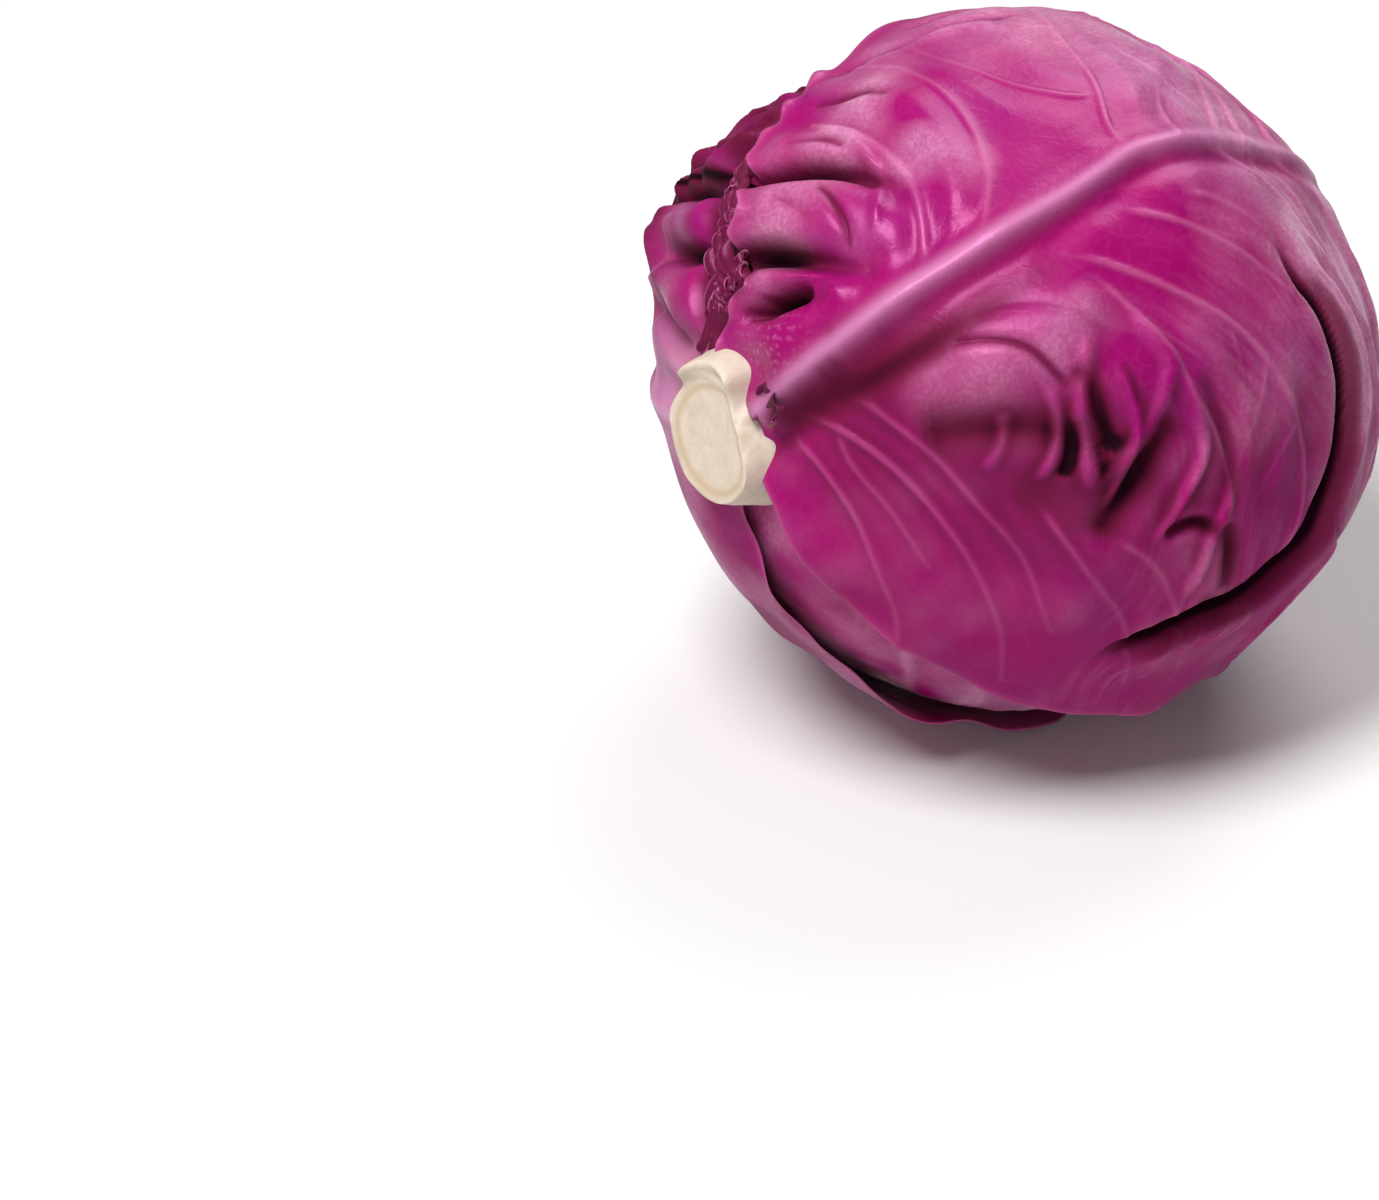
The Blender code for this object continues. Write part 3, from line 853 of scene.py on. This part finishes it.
def gathered_lobes(leaf):
    """The leaf is gathered into glossy lobes between the seam and the first arc."""
    valleys = [
        (line((41, -30), (42.3, -20.5), (44, -12), (46.7, -1), (48.6, 7.9), (49.8, 12.6)),
         7.0, 2.1, 1.0, 0.35, 0.5),
        (line((27.5, -27), (28.5, -15), (29.7, -6), (31, 2.3), (33.5, 13), (37.6, 24)),
         8.0, 2.6, 1.0, 0.3, 0.42),
        (line((18.5, -14), (21, 0), (24.2, 7.5), (27, 13), (29.5, 17)), 7.5, 1.9, 1.0, 0.55, 0.42),
    ]
    _, inside, _ = measure(leaf.direction, ARC_ONE)
    lobes = smooth_step(-1.0, 7.0, inside) * smooth_step(33.0, 20.0, leaf.around)
    lobes = lobes * smooth_step(13.0, 20.0, leaf.from_stem) * (leaf.from_stem < 75)
    lobes = lobes * (0.4 + 0.6 * smooth_step(0.0, 8.0, leaf.margin))
    nearest = np.full(leaf.height.shape, FAR_MM)
    for curve, depth, width, dark, peak, spread in valleys:
        nearest = np.minimum(nearest, leaf.valley(curve, depth, width, dark, peak, spread, 2.0))
    leaf.height += lobes * (3.8 * (1.0 - bell(nearest, 5.0)) - 1.2)
    leaf.valley(line((42.5, -6), (41.5, 3), (39.7, 12), (36.5, 18)), 1.6, 1.1, 0.45)
    leaf.valley(line((38, -16), (37.5, -4), (36.5, 5)), 0.8, 1.6, 0.12)
    leaf.valley(line((47.5, -24), (49.5, -13), (50, -4)), 1.2, 1.5, 0.25)
    leaf.fold(line((51.5, -18), (51.6, -6), (49.5, 4), (46.5, 12), (41.5, 20)), 1.2, 1.5)
    # A small sunken pocket, painted dark as shade.
    pocket = blob(leaf.direction, 24.8, -17, 3.0)
    leaf.height -= 2.6 * pocket
    leaf.paint("dark", 0.9 * pocket)


def deep_fold(leaf):
    """The long pleat near the crown: a narrow gap in painted shade, with a rounded lip on its far side."""
    curve = line((104.5, 44), (105.6, 49.5), (107.3, 54.2), (110.5, 59.9), (112.1, 66.8), (113.3, 73.7),
                 (112.7, 80.3), (110.8, 86.6), (107.4, 92.6), (104.8, 97.1), (99.4, 102.2),
                 (93.4, 106.2), (86.5, 108.7), (78, 113), (70, 119))
    away, lateral, share = measure(leaf.direction, curve)
    opening = smooth_step(0.0, 0.22, share) * smooth_step(1.0, 0.86, share)
    wide = 1.7 + 0.3 * smooth_step(0.25, 0.6, share) * smooth_step(1.0, 0.75, share)
    past_end = away - np.abs(lateral)
    gap = bell(lateral, np.where(lateral > 0, 1.5 * wide, wide)) * bell(past_end, 2.0)
    swell = bell(lateral + 4.5, 3.4) * (lateral <= 0)
    lip = smooth_step(0.8, 5.4, lateral) * bell(np.maximum(lateral - 5.4, 0.0), 8.0)
    close = away < 40.0
    leaf.height += close * opening * (2.4 * lip + 0.4 * swell - 4.6 * gap)
    # Painted shade: near-black in the gap, and a dimmer band on the lip's face beside it.
    leaf.paint("dark", close * opening * 1.3 * np.exp(-(np.abs((lateral - 0.7) / (1.2 * wide)) ** 3)))
    leaf.paint("dark", 0.62 * close * opening * bell(lateral - 3.6, 2.6))
    for line_at, height, width in (
        (line((112, 50), (116, 57), (118.7, 66.4), (119.6, 75.7), (115.8, 86), (112, 94)), 0.8, 1.3),
        (line((114, 44), (121, 51), (126, 62), (131, 77), (128, 90), (121, 104)), 1.3, 2.6),
        (line((130, 40), (139, 60), (141, 82), (134, 104), (122, 120)), 1.3, 3.2),
        (line((112, 97), (113, 104), (108, 112), (104, 120), (106, 134)), 1.1, 1.8),
    ):
        leaf.fold(line_at, height, width)
        leaf.vein(line_at, 0.2, 1.2, 0.45)
    leaf.valley(line((110.5, 92), (111, 97), (115, 104), (113, 112)), 1.1, 0.9, 0.3)


def streaks(where, curve, seed):
    """Fine streaks that follow a curve, between about -1 and 1."""
    _, lateral, _ = measure(where, curve)
    wander = lateral + 3.0 * noise(where, 40.0, seed)
    total = 0.0
    for number, pitch in enumerate((1.5, 2.3, 3.7, 5.9)):
        fade = noise(where, 22.0, seed + 1 + number)
        total = total + fade * np.sin(2 * math.pi * wander / pitch + 1.7 * number)
    return total / 2.4


def first_leaf_colours(leaf):
    """Thick bloom and painted highlights, bare magenta places, painted shade, and the leaf's pale edge."""
    where = leaf.direction
    bloom_and_highlight = 0.03 + 0.05 * noise(where, 38.0, 21) + 0.04 * noise(where, 12.0, 22)
    # Bloom patches, many of them painted highlights; negative ones leave the leaf bare magenta.
    for place, radius, amount in (
        ((56, 9.5), 4.5, 0.95), ((62, 17), 4.5, 0.5), ((55, -8), 4.5, 0.5), ((58, -12), 6.0, 0.6),
        ((65, -14), 5.0, 0.4),
        ((61, -3), 4.0, 0.3), ((72, -24), 6.0, 0.35), ((85, -20), 8.0, 0.4), ((96, -16), 10.0, 0.5),
        ((37, -11), 6.0, 0.55), ((34, -4), 5.0, 0.2), ((47, -4), 5.0, 0.4), ((50, -14), 5.0, 0.35),
        ((46, -26), 4.0, 0.2), ((25, -3), 3.0, 0.3), ((61, 55), 6.0, 0.5), ((49, 57), 5.5, 0.55),
        ((66, 51), 5.0, 0.3), ((38, 57), 5.0, 0.35), ((100, 17), 12.0, 0.6), ((92, 0), 12.0, 0.4),
        ((112, 28), 12.0, 0.6), ((110, 49), 7.0, 0.3), ((124, 60), 11.0, 0.9), ((130, 76), 13.0, 0.9),
        ((126, 104), 13.0, 0.5), ((80, -8), 10.0, 0.25), ((112, 0), 14.0, 0.5), ((92, 45), 8.0, 0.2),
        ((96, 68), 9.0, 0.4),
        ((86, 60), 6.0, 0.25), ((84, 100), 8.0, 0.25), ((150, 20), 26.0, 0.25), ((40, 20), 5.0, 0.25),
        ((123, 58), 8.0, 0.6), ((118, 74), 7.0, 0.6), ((139, 38), 12.0, 0.8), ((118, 44), 7.0, 0.5),
        ((70, 23), 6.0, -0.5), ((68, 8), 5.5, -0.5), ((76, 15), 6.0, -0.5), ((79, 27), 6.0, -0.4),
        ((62, 0), 3.5, -0.6), ((50, 20), 4.5, -0.3), ((84, 39), 6.0, -0.3), ((74, 36), 6.0, -0.4),
        ((76, 12), 7.0, -0.2), ((66, 38), 7.0, -0.4), ((80, 44), 7.0, -0.3),
        ((30, 30), 8.0, -0.15), ((25, 60), 10.0, -0.3), ((70, 64), 7.0, -0.2),
    ):
        bloom_and_highlight = bloom_and_highlight + amount * blob(where, *place, radius)
    fan = smooth_step(36.0, 46.0, leaf.around) * smooth_step(60.0, 80.0, leaf.from_stem)
    arc = line((60, 40), (72.6, 47), (82, 54), (90, 61), (95.2, 68), (99, 76), (101, 86), (99, 98))
    streaky = streaks(where, arc, 90) * fan
    relief = leaf.relief()
    ridges, creases = np.maximum(relief, 0.0), np.maximum(-relief, 0.0)
    # Painted light from the relief: more bloom on ridges, less in creases.
    bloom_and_highlight = bloom_and_highlight * (1.0 + 0.4 * ridges - 0.7 * creases)
    leaf.mask["bloom_and_highlight"] = np.clip(bloom_and_highlight + 0.08 * streaky + 0.07 * ridges * fan, 0.0, 1.0)
    leaf.height += 0.05 * streaky
    spots = smooth_step(0.9, 1.5, noise(where, 1.8, 29)) * blob(where, 18, 15, 7.0)
    leaf.mask["bloom_and_highlight"] = np.clip(leaf.mask["bloom_and_highlight"] + 0.35 * spots, 0.0, 1.0)
    # Painted shade over the near side's lower part, deeper in creases and lighter on ridges.
    shade = 0.0
    for place, radius, amount in (((66, 76), 9.0, 0.34), ((56, 84), 15.0, 0.38), ((78, 90), 8.0, 0.22),
                                  ((28, 72), 20.0, 0.35), ((96, 84), 12.0, 0.2)):
        shade = shade + amount * blob(where, *place, radius)
    shade = shade * (1.0 + 0.2 * noise(where, 9.0, 23) * fan + 0.2 * streaky + 0.6 * creases - 0.75 * ridges)
    shade = shade + 0.22 * creases
    leaf.mask["dark"] = np.clip(leaf.mask["dark"] + shade * (1.0 - leaf.mask["dark"]), 0.0, 1.0)
    leaf.paint("vein", 0.95 * np.exp(-leaf.margin / 0.7))


# ---------------------------------------------------------------- the other leaves


def plain_bloom(leaf, seed, level=0.22):
    """An even bloom, thicker beside the veins, with shaded creases and a pale edge."""
    relief = leaf.relief(6)
    leaf.paint("dark", 0.3 * np.maximum(-relief, 0.0))
    leaf.mask["bloom_and_highlight"] = np.clip(
        level + 0.11 * noise(leaf.direction, 34.0, seed) + 0.06 * noise(leaf.direction, 11.0, seed + 1)
        + 0.5 * bell(leaf.vein_gap, 2.4), 0.0, 1.0)
    leaf.paint("vein", 0.8 * np.exp(-leaf.margin / 0.8))


def generic_leaf(order, outside, spans, tip, rows, columns, seed, rib=2.2, quilt=1.0, lumps=0.7, veins=7):
    """A leaf with a straight midrib, paired forking veins and a gently waved margin."""
    leaf = Leaf(order, outside, spans, tip, rows, columns)
    leaf.midrib(curve_through(leaf.place(np.linspace(13.0, 150.0, 12), np.zeros(12))), rib, 4.0, 0.4 * rib)
    leaf.side_veins(veins, 0.42 * rib, 1.5, seed)
    leaf.quilt(quilt)
    leaf.height += lumps * noise(leaf.direction, 44.0, seed + 3)
    leaf.height += 0.25 * lumps * noise(leaf.direction, 15.0, seed + 4)
    leaf.ruffle(0.5, 0.7, 3.5, 22.0, seed + 5)
    plain_bloom(leaf, seed + 6)
    return leaf


def second_leaf():
    """The leaf on the far side of the seam, which runs round the back and under the head."""
    leaf = generic_leaf(1, HEAD_RADIUS - WRAPPER_PITCH, (97.0, 76.0), 191.0, 380, 360, 40)
    where, around, from_stem = leaf.direction, leaf.around, leaf.from_stem
    side = around < 0
    nearest = np.full(around.shape, FAR_MM)
    for curve, depth, width, dark, peak, spread in (
        (line((45, -74), (41, -68.5), (36.5, -60), (32.7, -52), (31, -43), (30, -34)),
         6.0, 2.2, 1.0, 0.58, 0.5),
        (line((55, -78), (53, -69), (49, -59), (44.7, -49.5), (43.5, -40), (46, -35.5), (50, -33)),
         6.0, 1.9, 1.0, 0.5, 0.8),
        (line((45, -90), (36, -79), (29, -73.5), (21.5, -68.5), (15.5, -57)), 3.4, 2.6, 0.45, 0.5, 0.6),
    ):
        nearest = np.minimum(nearest, leaf.valley(curve, depth, width, dark, peak, spread, 2.0))
    low = smooth_step(-92.0, -66.0, around) * smooth_step(53.0, 44.0, from_stem)
    low = low * smooth_step(12.0, 20.0, from_stem)
    swell = 4.2 + 0.9 * smooth_step(36.0, 45.0, from_stem)
    leaf.height += swell * low * side * (1.0 - bell(nearest, 5.0))
    crinkled = smooth_step(-90.0, -74.0, around) * side * smooth_step(46.0, 51.5, from_stem)
    crinkled = crinkled * smooth_step(88.0, 66.0, from_stem)
    leaf.height += crinkled * (1.1 + 4.4 * smooth_step(66.0, 53.0, from_stem) + 0.8 * noise(where, 12.0, 51)
                               + 0.3 * noise(where, 6.0, 52))
    for curve, height, width in (
        (line((49, -74), (53, -67.5), (57, -62), (60, -58), (63, -52), (63, -44), (61, -36)), 2.6, 2.3),
        (line((50, -66), (48.4, -56), (47.7, -47.5), (49.5, -40.5), (52, -36), (56, -33)), 2.4, 1.9),
        (line((66, -66), (68, -56), (68, -46), (67, -36)), 2.2, 2.4),
        (line((74, -66), (75, -54), (74, -42)), 1.6, 2.6),
    ):
        leaf.fold(curve, height, width)
        leaf.vein(curve, 0.3, 0.7, 0.5)
    for curve, depth, width, dark in (
        (line((57, -67), (55, -58), (53.5, -51), (55, -45), (58, -38)), 4.6, 1.6, 1.0),
        (line((63, -66), (65, -58), (65, -48), (64, -38)), 3.6, 1.6, 0.9),
        (line((71, -66), (71.5, -54), (71, -42)), 3.0, 1.8, 0.7),
    ):
        leaf.valley(curve, depth, width, dark, 0.5, 0.7, 1.8)
    # Painted shadow along the crease under the crinkled part's overhang.
    above, _, _ = measure(where, line((57, -76), (55, -67), (51, -57), (46.7, -47.5), (46, -38), (49, -33)))
    leaf.paint("dark", bell(above, 1.4) * side)
    # Painted shade among the crinkles; their own dried colour is in the dry mask.
    leaf.paint("dark", crinkled**2 * (0.3 + 0.18 * noise(where, 7.0, 53)))
    leaf.mask["dry"] = np.clip(crinkled * (0.6 + 0.2 * crinkled * noise(where, 9.0, 54)), 0.0, 1.0)
    # Where this leaf runs under the first leaf's margin it sinks and gets painted shade.
    under = smooth_step(-46.0, -39.0, around) * side * smooth_step(66.0, 56.0, from_stem)
    leaf.height -= 3.0 * under
    leaf.paint("dark", 0.6 * under)
    # Pale patches on the lobes: bloom and painted highlights.
    bloom_and_highlight = 0.3 * blob(where, 46, -64, 3.5) + 0.35 * blob(where, 40, -55, 3.5)
    bloom_and_highlight = bloom_and_highlight + 0.6 * blob(where, 27, -65, 4.0)
    plain = 1.0 - np.clip(0.9 * low + crinkled, 0.0, 1.0) * side
    leaf.mask["bloom_and_highlight"] = np.clip(leaf.mask["bloom_and_highlight"] * plain + bloom_and_highlight, 0.0, 1.0)
    leaf.mask["vein"] *= 0.25 + 0.75 * plain
    lilac = blob(where, 24, -98, 14.0) * smooth_step(-66.0, -76.0, around) * side
    leaf.paint("rib", 0.75 * lilac)
    leaf.paint("base", 0.6 * blob(where, 15, -78, 7.0))
    return leaf


def seam_frills():
    """Dried, crumpled strips of margin that stand along the seam, in place of a neat edge."""
    random = np.random.default_rng(77)
    spacing, half_thickness, sunk = 0.22, 0.00018, 0.0012
    curve = line(*[(a, b - 1.5) for a, b in SEAM if a <= 60])
    step = np.linalg.norm(np.diff(curve, axis=0), axis=1)
    run = np.concatenate([[0.0], np.cumsum(step)]) * HEAD_MM
    s = np.arange(0.0, run[-1], spacing)
    at = np.stack([np.interp(s, run, curve[:, k]) for k in range(3)], axis=1)
    at /= np.linalg.norm(at, axis=1)[:, None]
    tangent = np.gradient(at, axis=0)
    tangent /= np.linalg.norm(tangent, axis=1)[:, None]
    lateral = np.cross(at, tangent)
    from_stem, _ = angles_of(at)
    room = np.interp(from_stem, [12, 16, 22, 27, 31, 36, 41, 45, 49, 60],
                     [9, 10, 10, 8.5, 7, 7.5, 6.5, 3.5, 2.0, 1.2])
    parts = []
    for offset, reach, height, pitch in (
        (0.0, 0.42, 1.2, 6.5), (0.22, 0.38, 0.9, 5.0), (0.45, 0.36, 0.9, 5.6),
        (0.66, 0.34, 0.7, 4.6), (0.98, -0.34, 0.6, 6.0),
    ):
        uneven = 1.0 + 0.35 * np.sin(s / 5.3 + random.uniform(0, 6))
        phase = np.cumsum(2 * math.pi * spacing / (pitch * uneven)) + random.uniform(0, 6)
        t = np.linspace(0.0, 1.0, 15)[None, :]
        swell = (0.75 + 0.35 * np.sin(s / 3.7 + random.uniform(0, 6)))[:, None]
        frill = (0.22 + 0.78 * t**1.3) * swell
        out = room[:, None] * (offset + reach * t + 0.16 * frill * t * np.cos(phase)[:, None])
        size = np.minimum(room, 6.5)[:, None]
        up = height + size * (0.26 * np.sin(2.6 * t) + 0.26 * frill * np.sin(phase)[:, None] * t)
        slide = 0.12 * size * frill * t * np.sin(phase * 0.5 + 1.0)[:, None]
        level = head_radius(at)[:, None] + outline(at)[:, None] / MM - sunk + up / MM
        moved = lateral[:, None, :] * out[..., None] + tangent[:, None, :] * slide[..., None]
        place = at[:, None, :] + moved / HEAD_MM
        place /= np.linalg.norm(place, axis=2)[..., None]
        points = CENTRE + place * level[..., None]
        normal = np.cross(np.gradient(points, axis=0), np.gradient(points, axis=1))
        normal /= np.maximum(np.linalg.norm(normal, axis=2), 1e-12)[..., None]
        mesh_points, quads = shell_mesh(points + half_thickness * normal, points - half_thickness * normal)
        edge = np.broadcast_to(smooth_step(0.82, 0.97, t), out.shape)
        masks = blank_masks(2 * out.size)
        masks["dry"] = np.tile((0.95 - 0.75 * edge).ravel(), 2)
        masks["vein"] = np.tile(edge.ravel(), 2)
        masks["bloom_and_highlight"] = np.tile(0.5 * edge.ravel(), 2)
        # Painted shade at each strip's foot, fading towards its edge.
        foot = np.broadcast_to((1.0 - t) ** 1.5, out.shape)
        masks["dark"] = np.tile(0.75 * foot.ravel(), 2)
        parts.append((mesh_points, quads, masks))
    return parts


def wrapper_leaves():
    """The six outer leaves, in the places of their CAD nodes."""
    first, second = first_leaf(), second_leaf()
    piece = add_mesh("outer_leaf_1", [leaf_part(first)], OUTER)
    stand_for(piece, "leaf_01")
    piece = add_mesh("outer_leaf_2", [leaf_part(second), *seam_frills()], OUTER)
    stand_for(piece, "leaf_02")
    for order in range(2, WRAPPER_COUNT):
        outside = HEAD_RADIUS - order * WRAPPER_PITCH
        rows, columns = (300, 280) if order == 2 else (170, 160)
        tip = 196.0 - 5.0 * (order % 3)
        leaf = generic_leaf(order, outside, (74.0, 74.0), tip, rows, columns, 60 + 10 * order,
                            rib=1.2, quilt=0.7, lumps=0.35)
        if order == 2:
            covered = smooth_step(126.0, 112.0, leaf.around) * (leaf.around > -40)
            leaf.height -= 3.2 * covered
        else:
            leaf.height -= 1.5
        piece = add_mesh(f"outer_leaf_{order + 1}", [leaf_part(leaf)], OUTER)
        stand_for(piece, f"leaf_{order + 1:02d}")


def inner_leaves():
    """The leaves sealed inside the head, crumpled where they have room."""
    for inner in range(INNER_COUNT):
        order = WRAPPER_COUNT + inner
        outside = INNER_START - inner * INNER_PITCH
        tip = 184.0 - 6.0 * (inner % 3)
        leaf = generic_leaf(order, outside, (71.0, 71.0), tip, 96, 90, 200 + 10 * inner,
                            rib=1.0, quilt=0.4, lumps=0.3, veins=5)
        leaf.height -= 0.4
        leaf.height += 0.35 * noise(leaf.direction, 16.0 * HEAD_RADIUS / outside, 300 + inner)
        leaf.mask["base"] = 0.8 * smooth_step(40.0, 16.0, leaf.from_stem)
        piece = add_mesh(f"inner_leaf_{order + 1}", [leaf_part(leaf, INNER_SHEET_MM)], INNER)
        stand_for(piece, f"leaf_{order + 1:02d}")


# ---------------------------------------------------------------- stem, bud and torn leaf


def round_values(angles, places):
    """A smooth closed run of values round the stem, through (degrees, value) pairs."""
    degrees, values = np.array(places, float).T
    wrapped = np.interp(np.degrees(angles) % 360.0, degrees, values, period=360.0)
    kernel = np.hanning(11)
    kernel /= kernel.sum()
    padded = np.concatenate([wrapped[-5:], wrapped, wrapped[:5]])
    return np.convolve(padded, kernel, mode="valid")


def stem_piece():
    """The cut stub with its sloped shoulder and white knob, and the core down to its tip."""
    segments = 220
    angles = np.linspace(0.0, 2 * math.pi, segments, endpoint=False)
    rim = round_values(angles, [(0, 11.8), (23, 7.4), (48, 6.0), (90, 7.3), (130, 13.0), (180, 16.0),
                                (215, 17.0), (262, 18.2), (296, 15.4), (330, 13.2), (352, 12.4)])
    shoulder = round_values(angles, [(0, 17.6), (9, 16.4), (18, 11.2), (50, 8.4), (90, 9.6), (130, 13.8),
                                     (180, 17.6), (215, 18.4), (262, 19.6), (296, 19.2), (325, 19.6),
                                     (345, 18.8)])
    cut = HEAD_MM + 1.4
    below_shoulder = cut - 4.9
    core_end = 12.5
    turned = (np.degrees(angles) + 180.0) % 360.0 - 180.0
    knob = smooth_step(-74.0, -56.0, turned) * smooth_step(15.0, 5.0, turned)
    rings, tan, shade, brown = [], [], [], []

    def ring(radius, height, in_tan=0.0, in_shade=0.0, in_brown=0.0):
        """Adds a ring at this radius and height in mm, with its share of each colour."""
        radius = np.broadcast_to(np.asarray(radius, float), angles.shape)
        height = np.broadcast_to(np.asarray(height, float), angles.shape)
        flat = np.cos(angles)[:, None] * UPWARD + np.sin(angles)[:, None] * SIDEWAYS
        rings.append(CENTRE + (height[:, None] * TO_STEM + radius[:, None] * flat) / MM)
        for store, value in ((tan, in_tan), (shade, in_shade), (brown, in_brown)):
            store.append(np.broadcast_to(np.asarray(value, float), angles.shape))

    for share in np.linspace(0.02, 1.0, 26):
        dish = -0.5 * (1.0 - share**2) + 0.12 * np.sin(9.0 * share + 3 * angles) * share
        band = bell(share - 0.86, 0.06)
        ring(rim * share, cut + dish, band)
    for share in np.linspace(0.1, 1.0, 14):
        edge = math.sin(share * math.pi / 2)
        radius = rim + (shoulder - rim) * share
        height = cut - 0.25 * edge - 4.6 * share**1.5 + 0.35 * np.sin(7 * angles + 4 * share)
        swell = knob * bell(share - 0.55, 0.32)
        rise = (3.6 + 0.5 * np.sin(0.11 * turned)) * swell
        ring(radius + 0.6 * swell, height + rise, 0.0, 0.12 * share)
    foot = HEAD_MM - 14.0
    for share in np.linspace(0.08, 1.0, 40):
        height = below_shoulder + (core_end - below_shoulder) * share
        inner = 2.2 + 15.8 * np.clip((height - core_end) / (foot - core_end), 0.0, 1.0) ** 0.85
        blend = math.exp(-share * 14.0)
        ring(shoulder * blend + inner * (1.0 - blend), height, 0.0, 0.2, 0.15 * blend)
    tip = CENTRE + TO_STEM * 11.6 / MM
    middle = CENTRE + TO_STEM * (cut - 0.5) / MM
    points = np.concatenate([np.concatenate(rings), [middle, tip]])
    low = np.arange(segments)
    high = (low + 1) % segments
    quads = []
    for k in range(len(rings) - 1):
        here, there = k * segments, (k + 1) * segments
        quads.append(np.stack([here + low, here + high, there + high, there + low], axis=1))
    quads = np.concatenate(quads)
    top, bottom = len(points) - 2, len(points) - 1
    last = (len(rings) - 1) * segments
    faces = quads.tolist()
    faces += [[top, int(b), int(a)] for a, b in zip(low, high)]
    faces += [[bottom, int(last + a), int(last + b)] for a, b in zip(low, high)]
    mesh = bpy.data.meshes.new("cut_stem")
    mesh.from_pydata(points.tolist(), [], faces)
    masks = np.ones((len(points), 4), np.float32)
    for channel, store in enumerate((tan, shade, brown)):
        masks[:-2, channel] = np.concatenate(store)
        masks[-2:, channel] = 0.0
    mesh.attributes.new("tone", "FLOAT_COLOR", "POINT").data.foreach_set("color", masks.ravel())
    mesh.validate()
    mesh.shade_smooth()
    mesh.materials.append(STEM)
    return add_object("cut_stem", mesh)


def torn_piece():
    """The crumpled remains of a torn-off leaf, standing between the stub and the rib."""
    t, u = grid(np.linspace(0.0, 1.0, 60), np.linspace(-1.0, 1.0, 70))
    ragged = 1.0 - 0.28 * np.abs(np.sin(5.0 * u + 1.0)) - 0.2 * u**2
    along = np.radians(9.0 + 7.2 * t * ragged)
    around = np.radians(45.0 + 17.0 * u * (1.0 - 0.2 * t))
    direction = polar(along, around)
    wave = np.sin(7.0 * u + 2.0) * (0.4 + 0.6 * t) + 0.5 * np.sin(13.0 * u + 4.0 * t)
    level = HEAD_MM - 2.4 + 6.4 * t * ragged + 1.0 * wave + 1.3 * u**2 * t
    points = CENTRE + direction * level[..., None] / MM
    outer, quads = shell_mesh(points, points - direction * 0.0005)
    masks = blank_masks(2 * t.size)
    rim = smooth_step(0.93, 1.0, np.maximum(t, np.abs(u)))
    masks["dry"] = np.tile((0.9 - 0.4 * rim).ravel(), 2)
    masks["vein"] = np.tile(0.45 * rim.ravel(), 2)
    return add_mesh("torn_leaf", [(outer, quads, masks)], OUTER)


def bud_piece():
    """The small closed bud in the middle, its leaflets wrapped like a rose."""
    polar_angle, turn = grid(np.linspace(0.06, math.pi - 0.06, 60), np.linspace(-math.pi, math.pi, 80))
    direction = polar(polar_angle, turn)
    fold = 0.35 * np.abs(np.sin(2.5 * turn + 2.0 * polar_angle)) * np.sin(polar_angle)
    outer = CENTRE + direction * (HEART_RADIUS * 0.9 - 0.0009 * fold)[..., None]
    inner = CENTRE + direction * (HEART_RADIUS * 0.55)
    points, quads = shell_mesh(outer, inner)
    masks = blank_masks(2 * turn.size)
    masks["base"] += 0.6
    masks["bloom_and_highlight"] += 0.7
    return add_mesh("heart_leaflets", [(points, quads, masks)], INNER)


wrapper_leaves()
inner_leaves()
stand_for(stem_piece(), "stem_core")
stand_for(torn_piece(), "torn_leaf_stub")
stand_for(bud_piece(), "heart_bud")


# ---------------------------------------------------------------- floor, light and camera


def floor():
    mesh = bpy.data.meshes.new("floor")
    half = 6.0
    corners = [(-half, -half, 0), (half, -half, 0), (half, half, 0), (-half, half, 0)]
    mesh.from_pydata(corners, [], [(0, 1, 2, 3)])
    mesh.materials.append(floor_material())
    made = add_object("floor", mesh)
    made.visible_glossy = False


def softbox(name, place, size, power):
    """A round area light that looks at the middle of the head."""
    data = bpy.data.lights.new(name, "AREA")
    data.shape = "DISK"
    data.size = size
    data.energy = power
    made = add_object(name, data)
    target = Vector(CENTRE)
    made.location = target + Vector(place)
    made.rotation_euler = (target - made.location).to_track_quat("-Z", "Y").to_euler()


def camera():
    """A long lens 30 degrees above the floor, turned so that the head sits right of the middle."""
    azimuth, elevation = math.radians(-38.9), math.radians(30.0)
    lens, sensor, distance = 240.0, 36.0, 2.085
    # From the picture's middle to the head's, as shares of the picture's width and height
    across, above = 0.2324, 0.19
    height_share = 1200.0 / 1379.0
    level = math.cos(elevation)
    back = Vector((math.sin(azimuth) * level, -math.cos(azimuth) * level, math.sin(elevation)))
    right = Vector((0, 0, 1)).cross(back).normalized()
    up = back.cross(right)
    square = Matrix((right, up, back)).transposed()
    field = sensor / lens
    seen = Vector((across * field, above * height_share * field, -1.0))
    turn = seen.rotation_difference(Vector((0, 0, -1)))
    data = bpy.data.cameras.new("camera")
    data.lens = lens
    data.sensor_width = sensor
    data.clip_start = 0.05
    made = add_object("camera", data)
    made.rotation_mode = "QUATERNION"
    made.rotation_quaternion = square.to_quaternion() @ turn
    made.location = Vector(CENTRE) + distance * back
    bpy.context.scene.camera = made


def world():
    """Faint even white light from all round."""
    made = bpy.data.worlds.new("studio")
    bpy.context.scene.world = made
    made.use_nodes = True
    set_inputs(made.node_tree.nodes["Background"], Color=(1.0, 1.0, 1.0, 1.0), Strength=0.16)


floor()
camera()
world()
for light in (
    ("key_light", (-0.62, -0.12, 1.15), 0.7, 20.5),
    ("back_light", (0.75, 0.35, 0.95), 0.9, 8.5),
    ("fill_light", (-0.9, -1.0, 0.5), 0.6, 1.8),
):
    softbox(*light)
bpy.context.scene.view_settings.view_transform = "Standard"
bpy.context.scene.view_settings.look = "None"
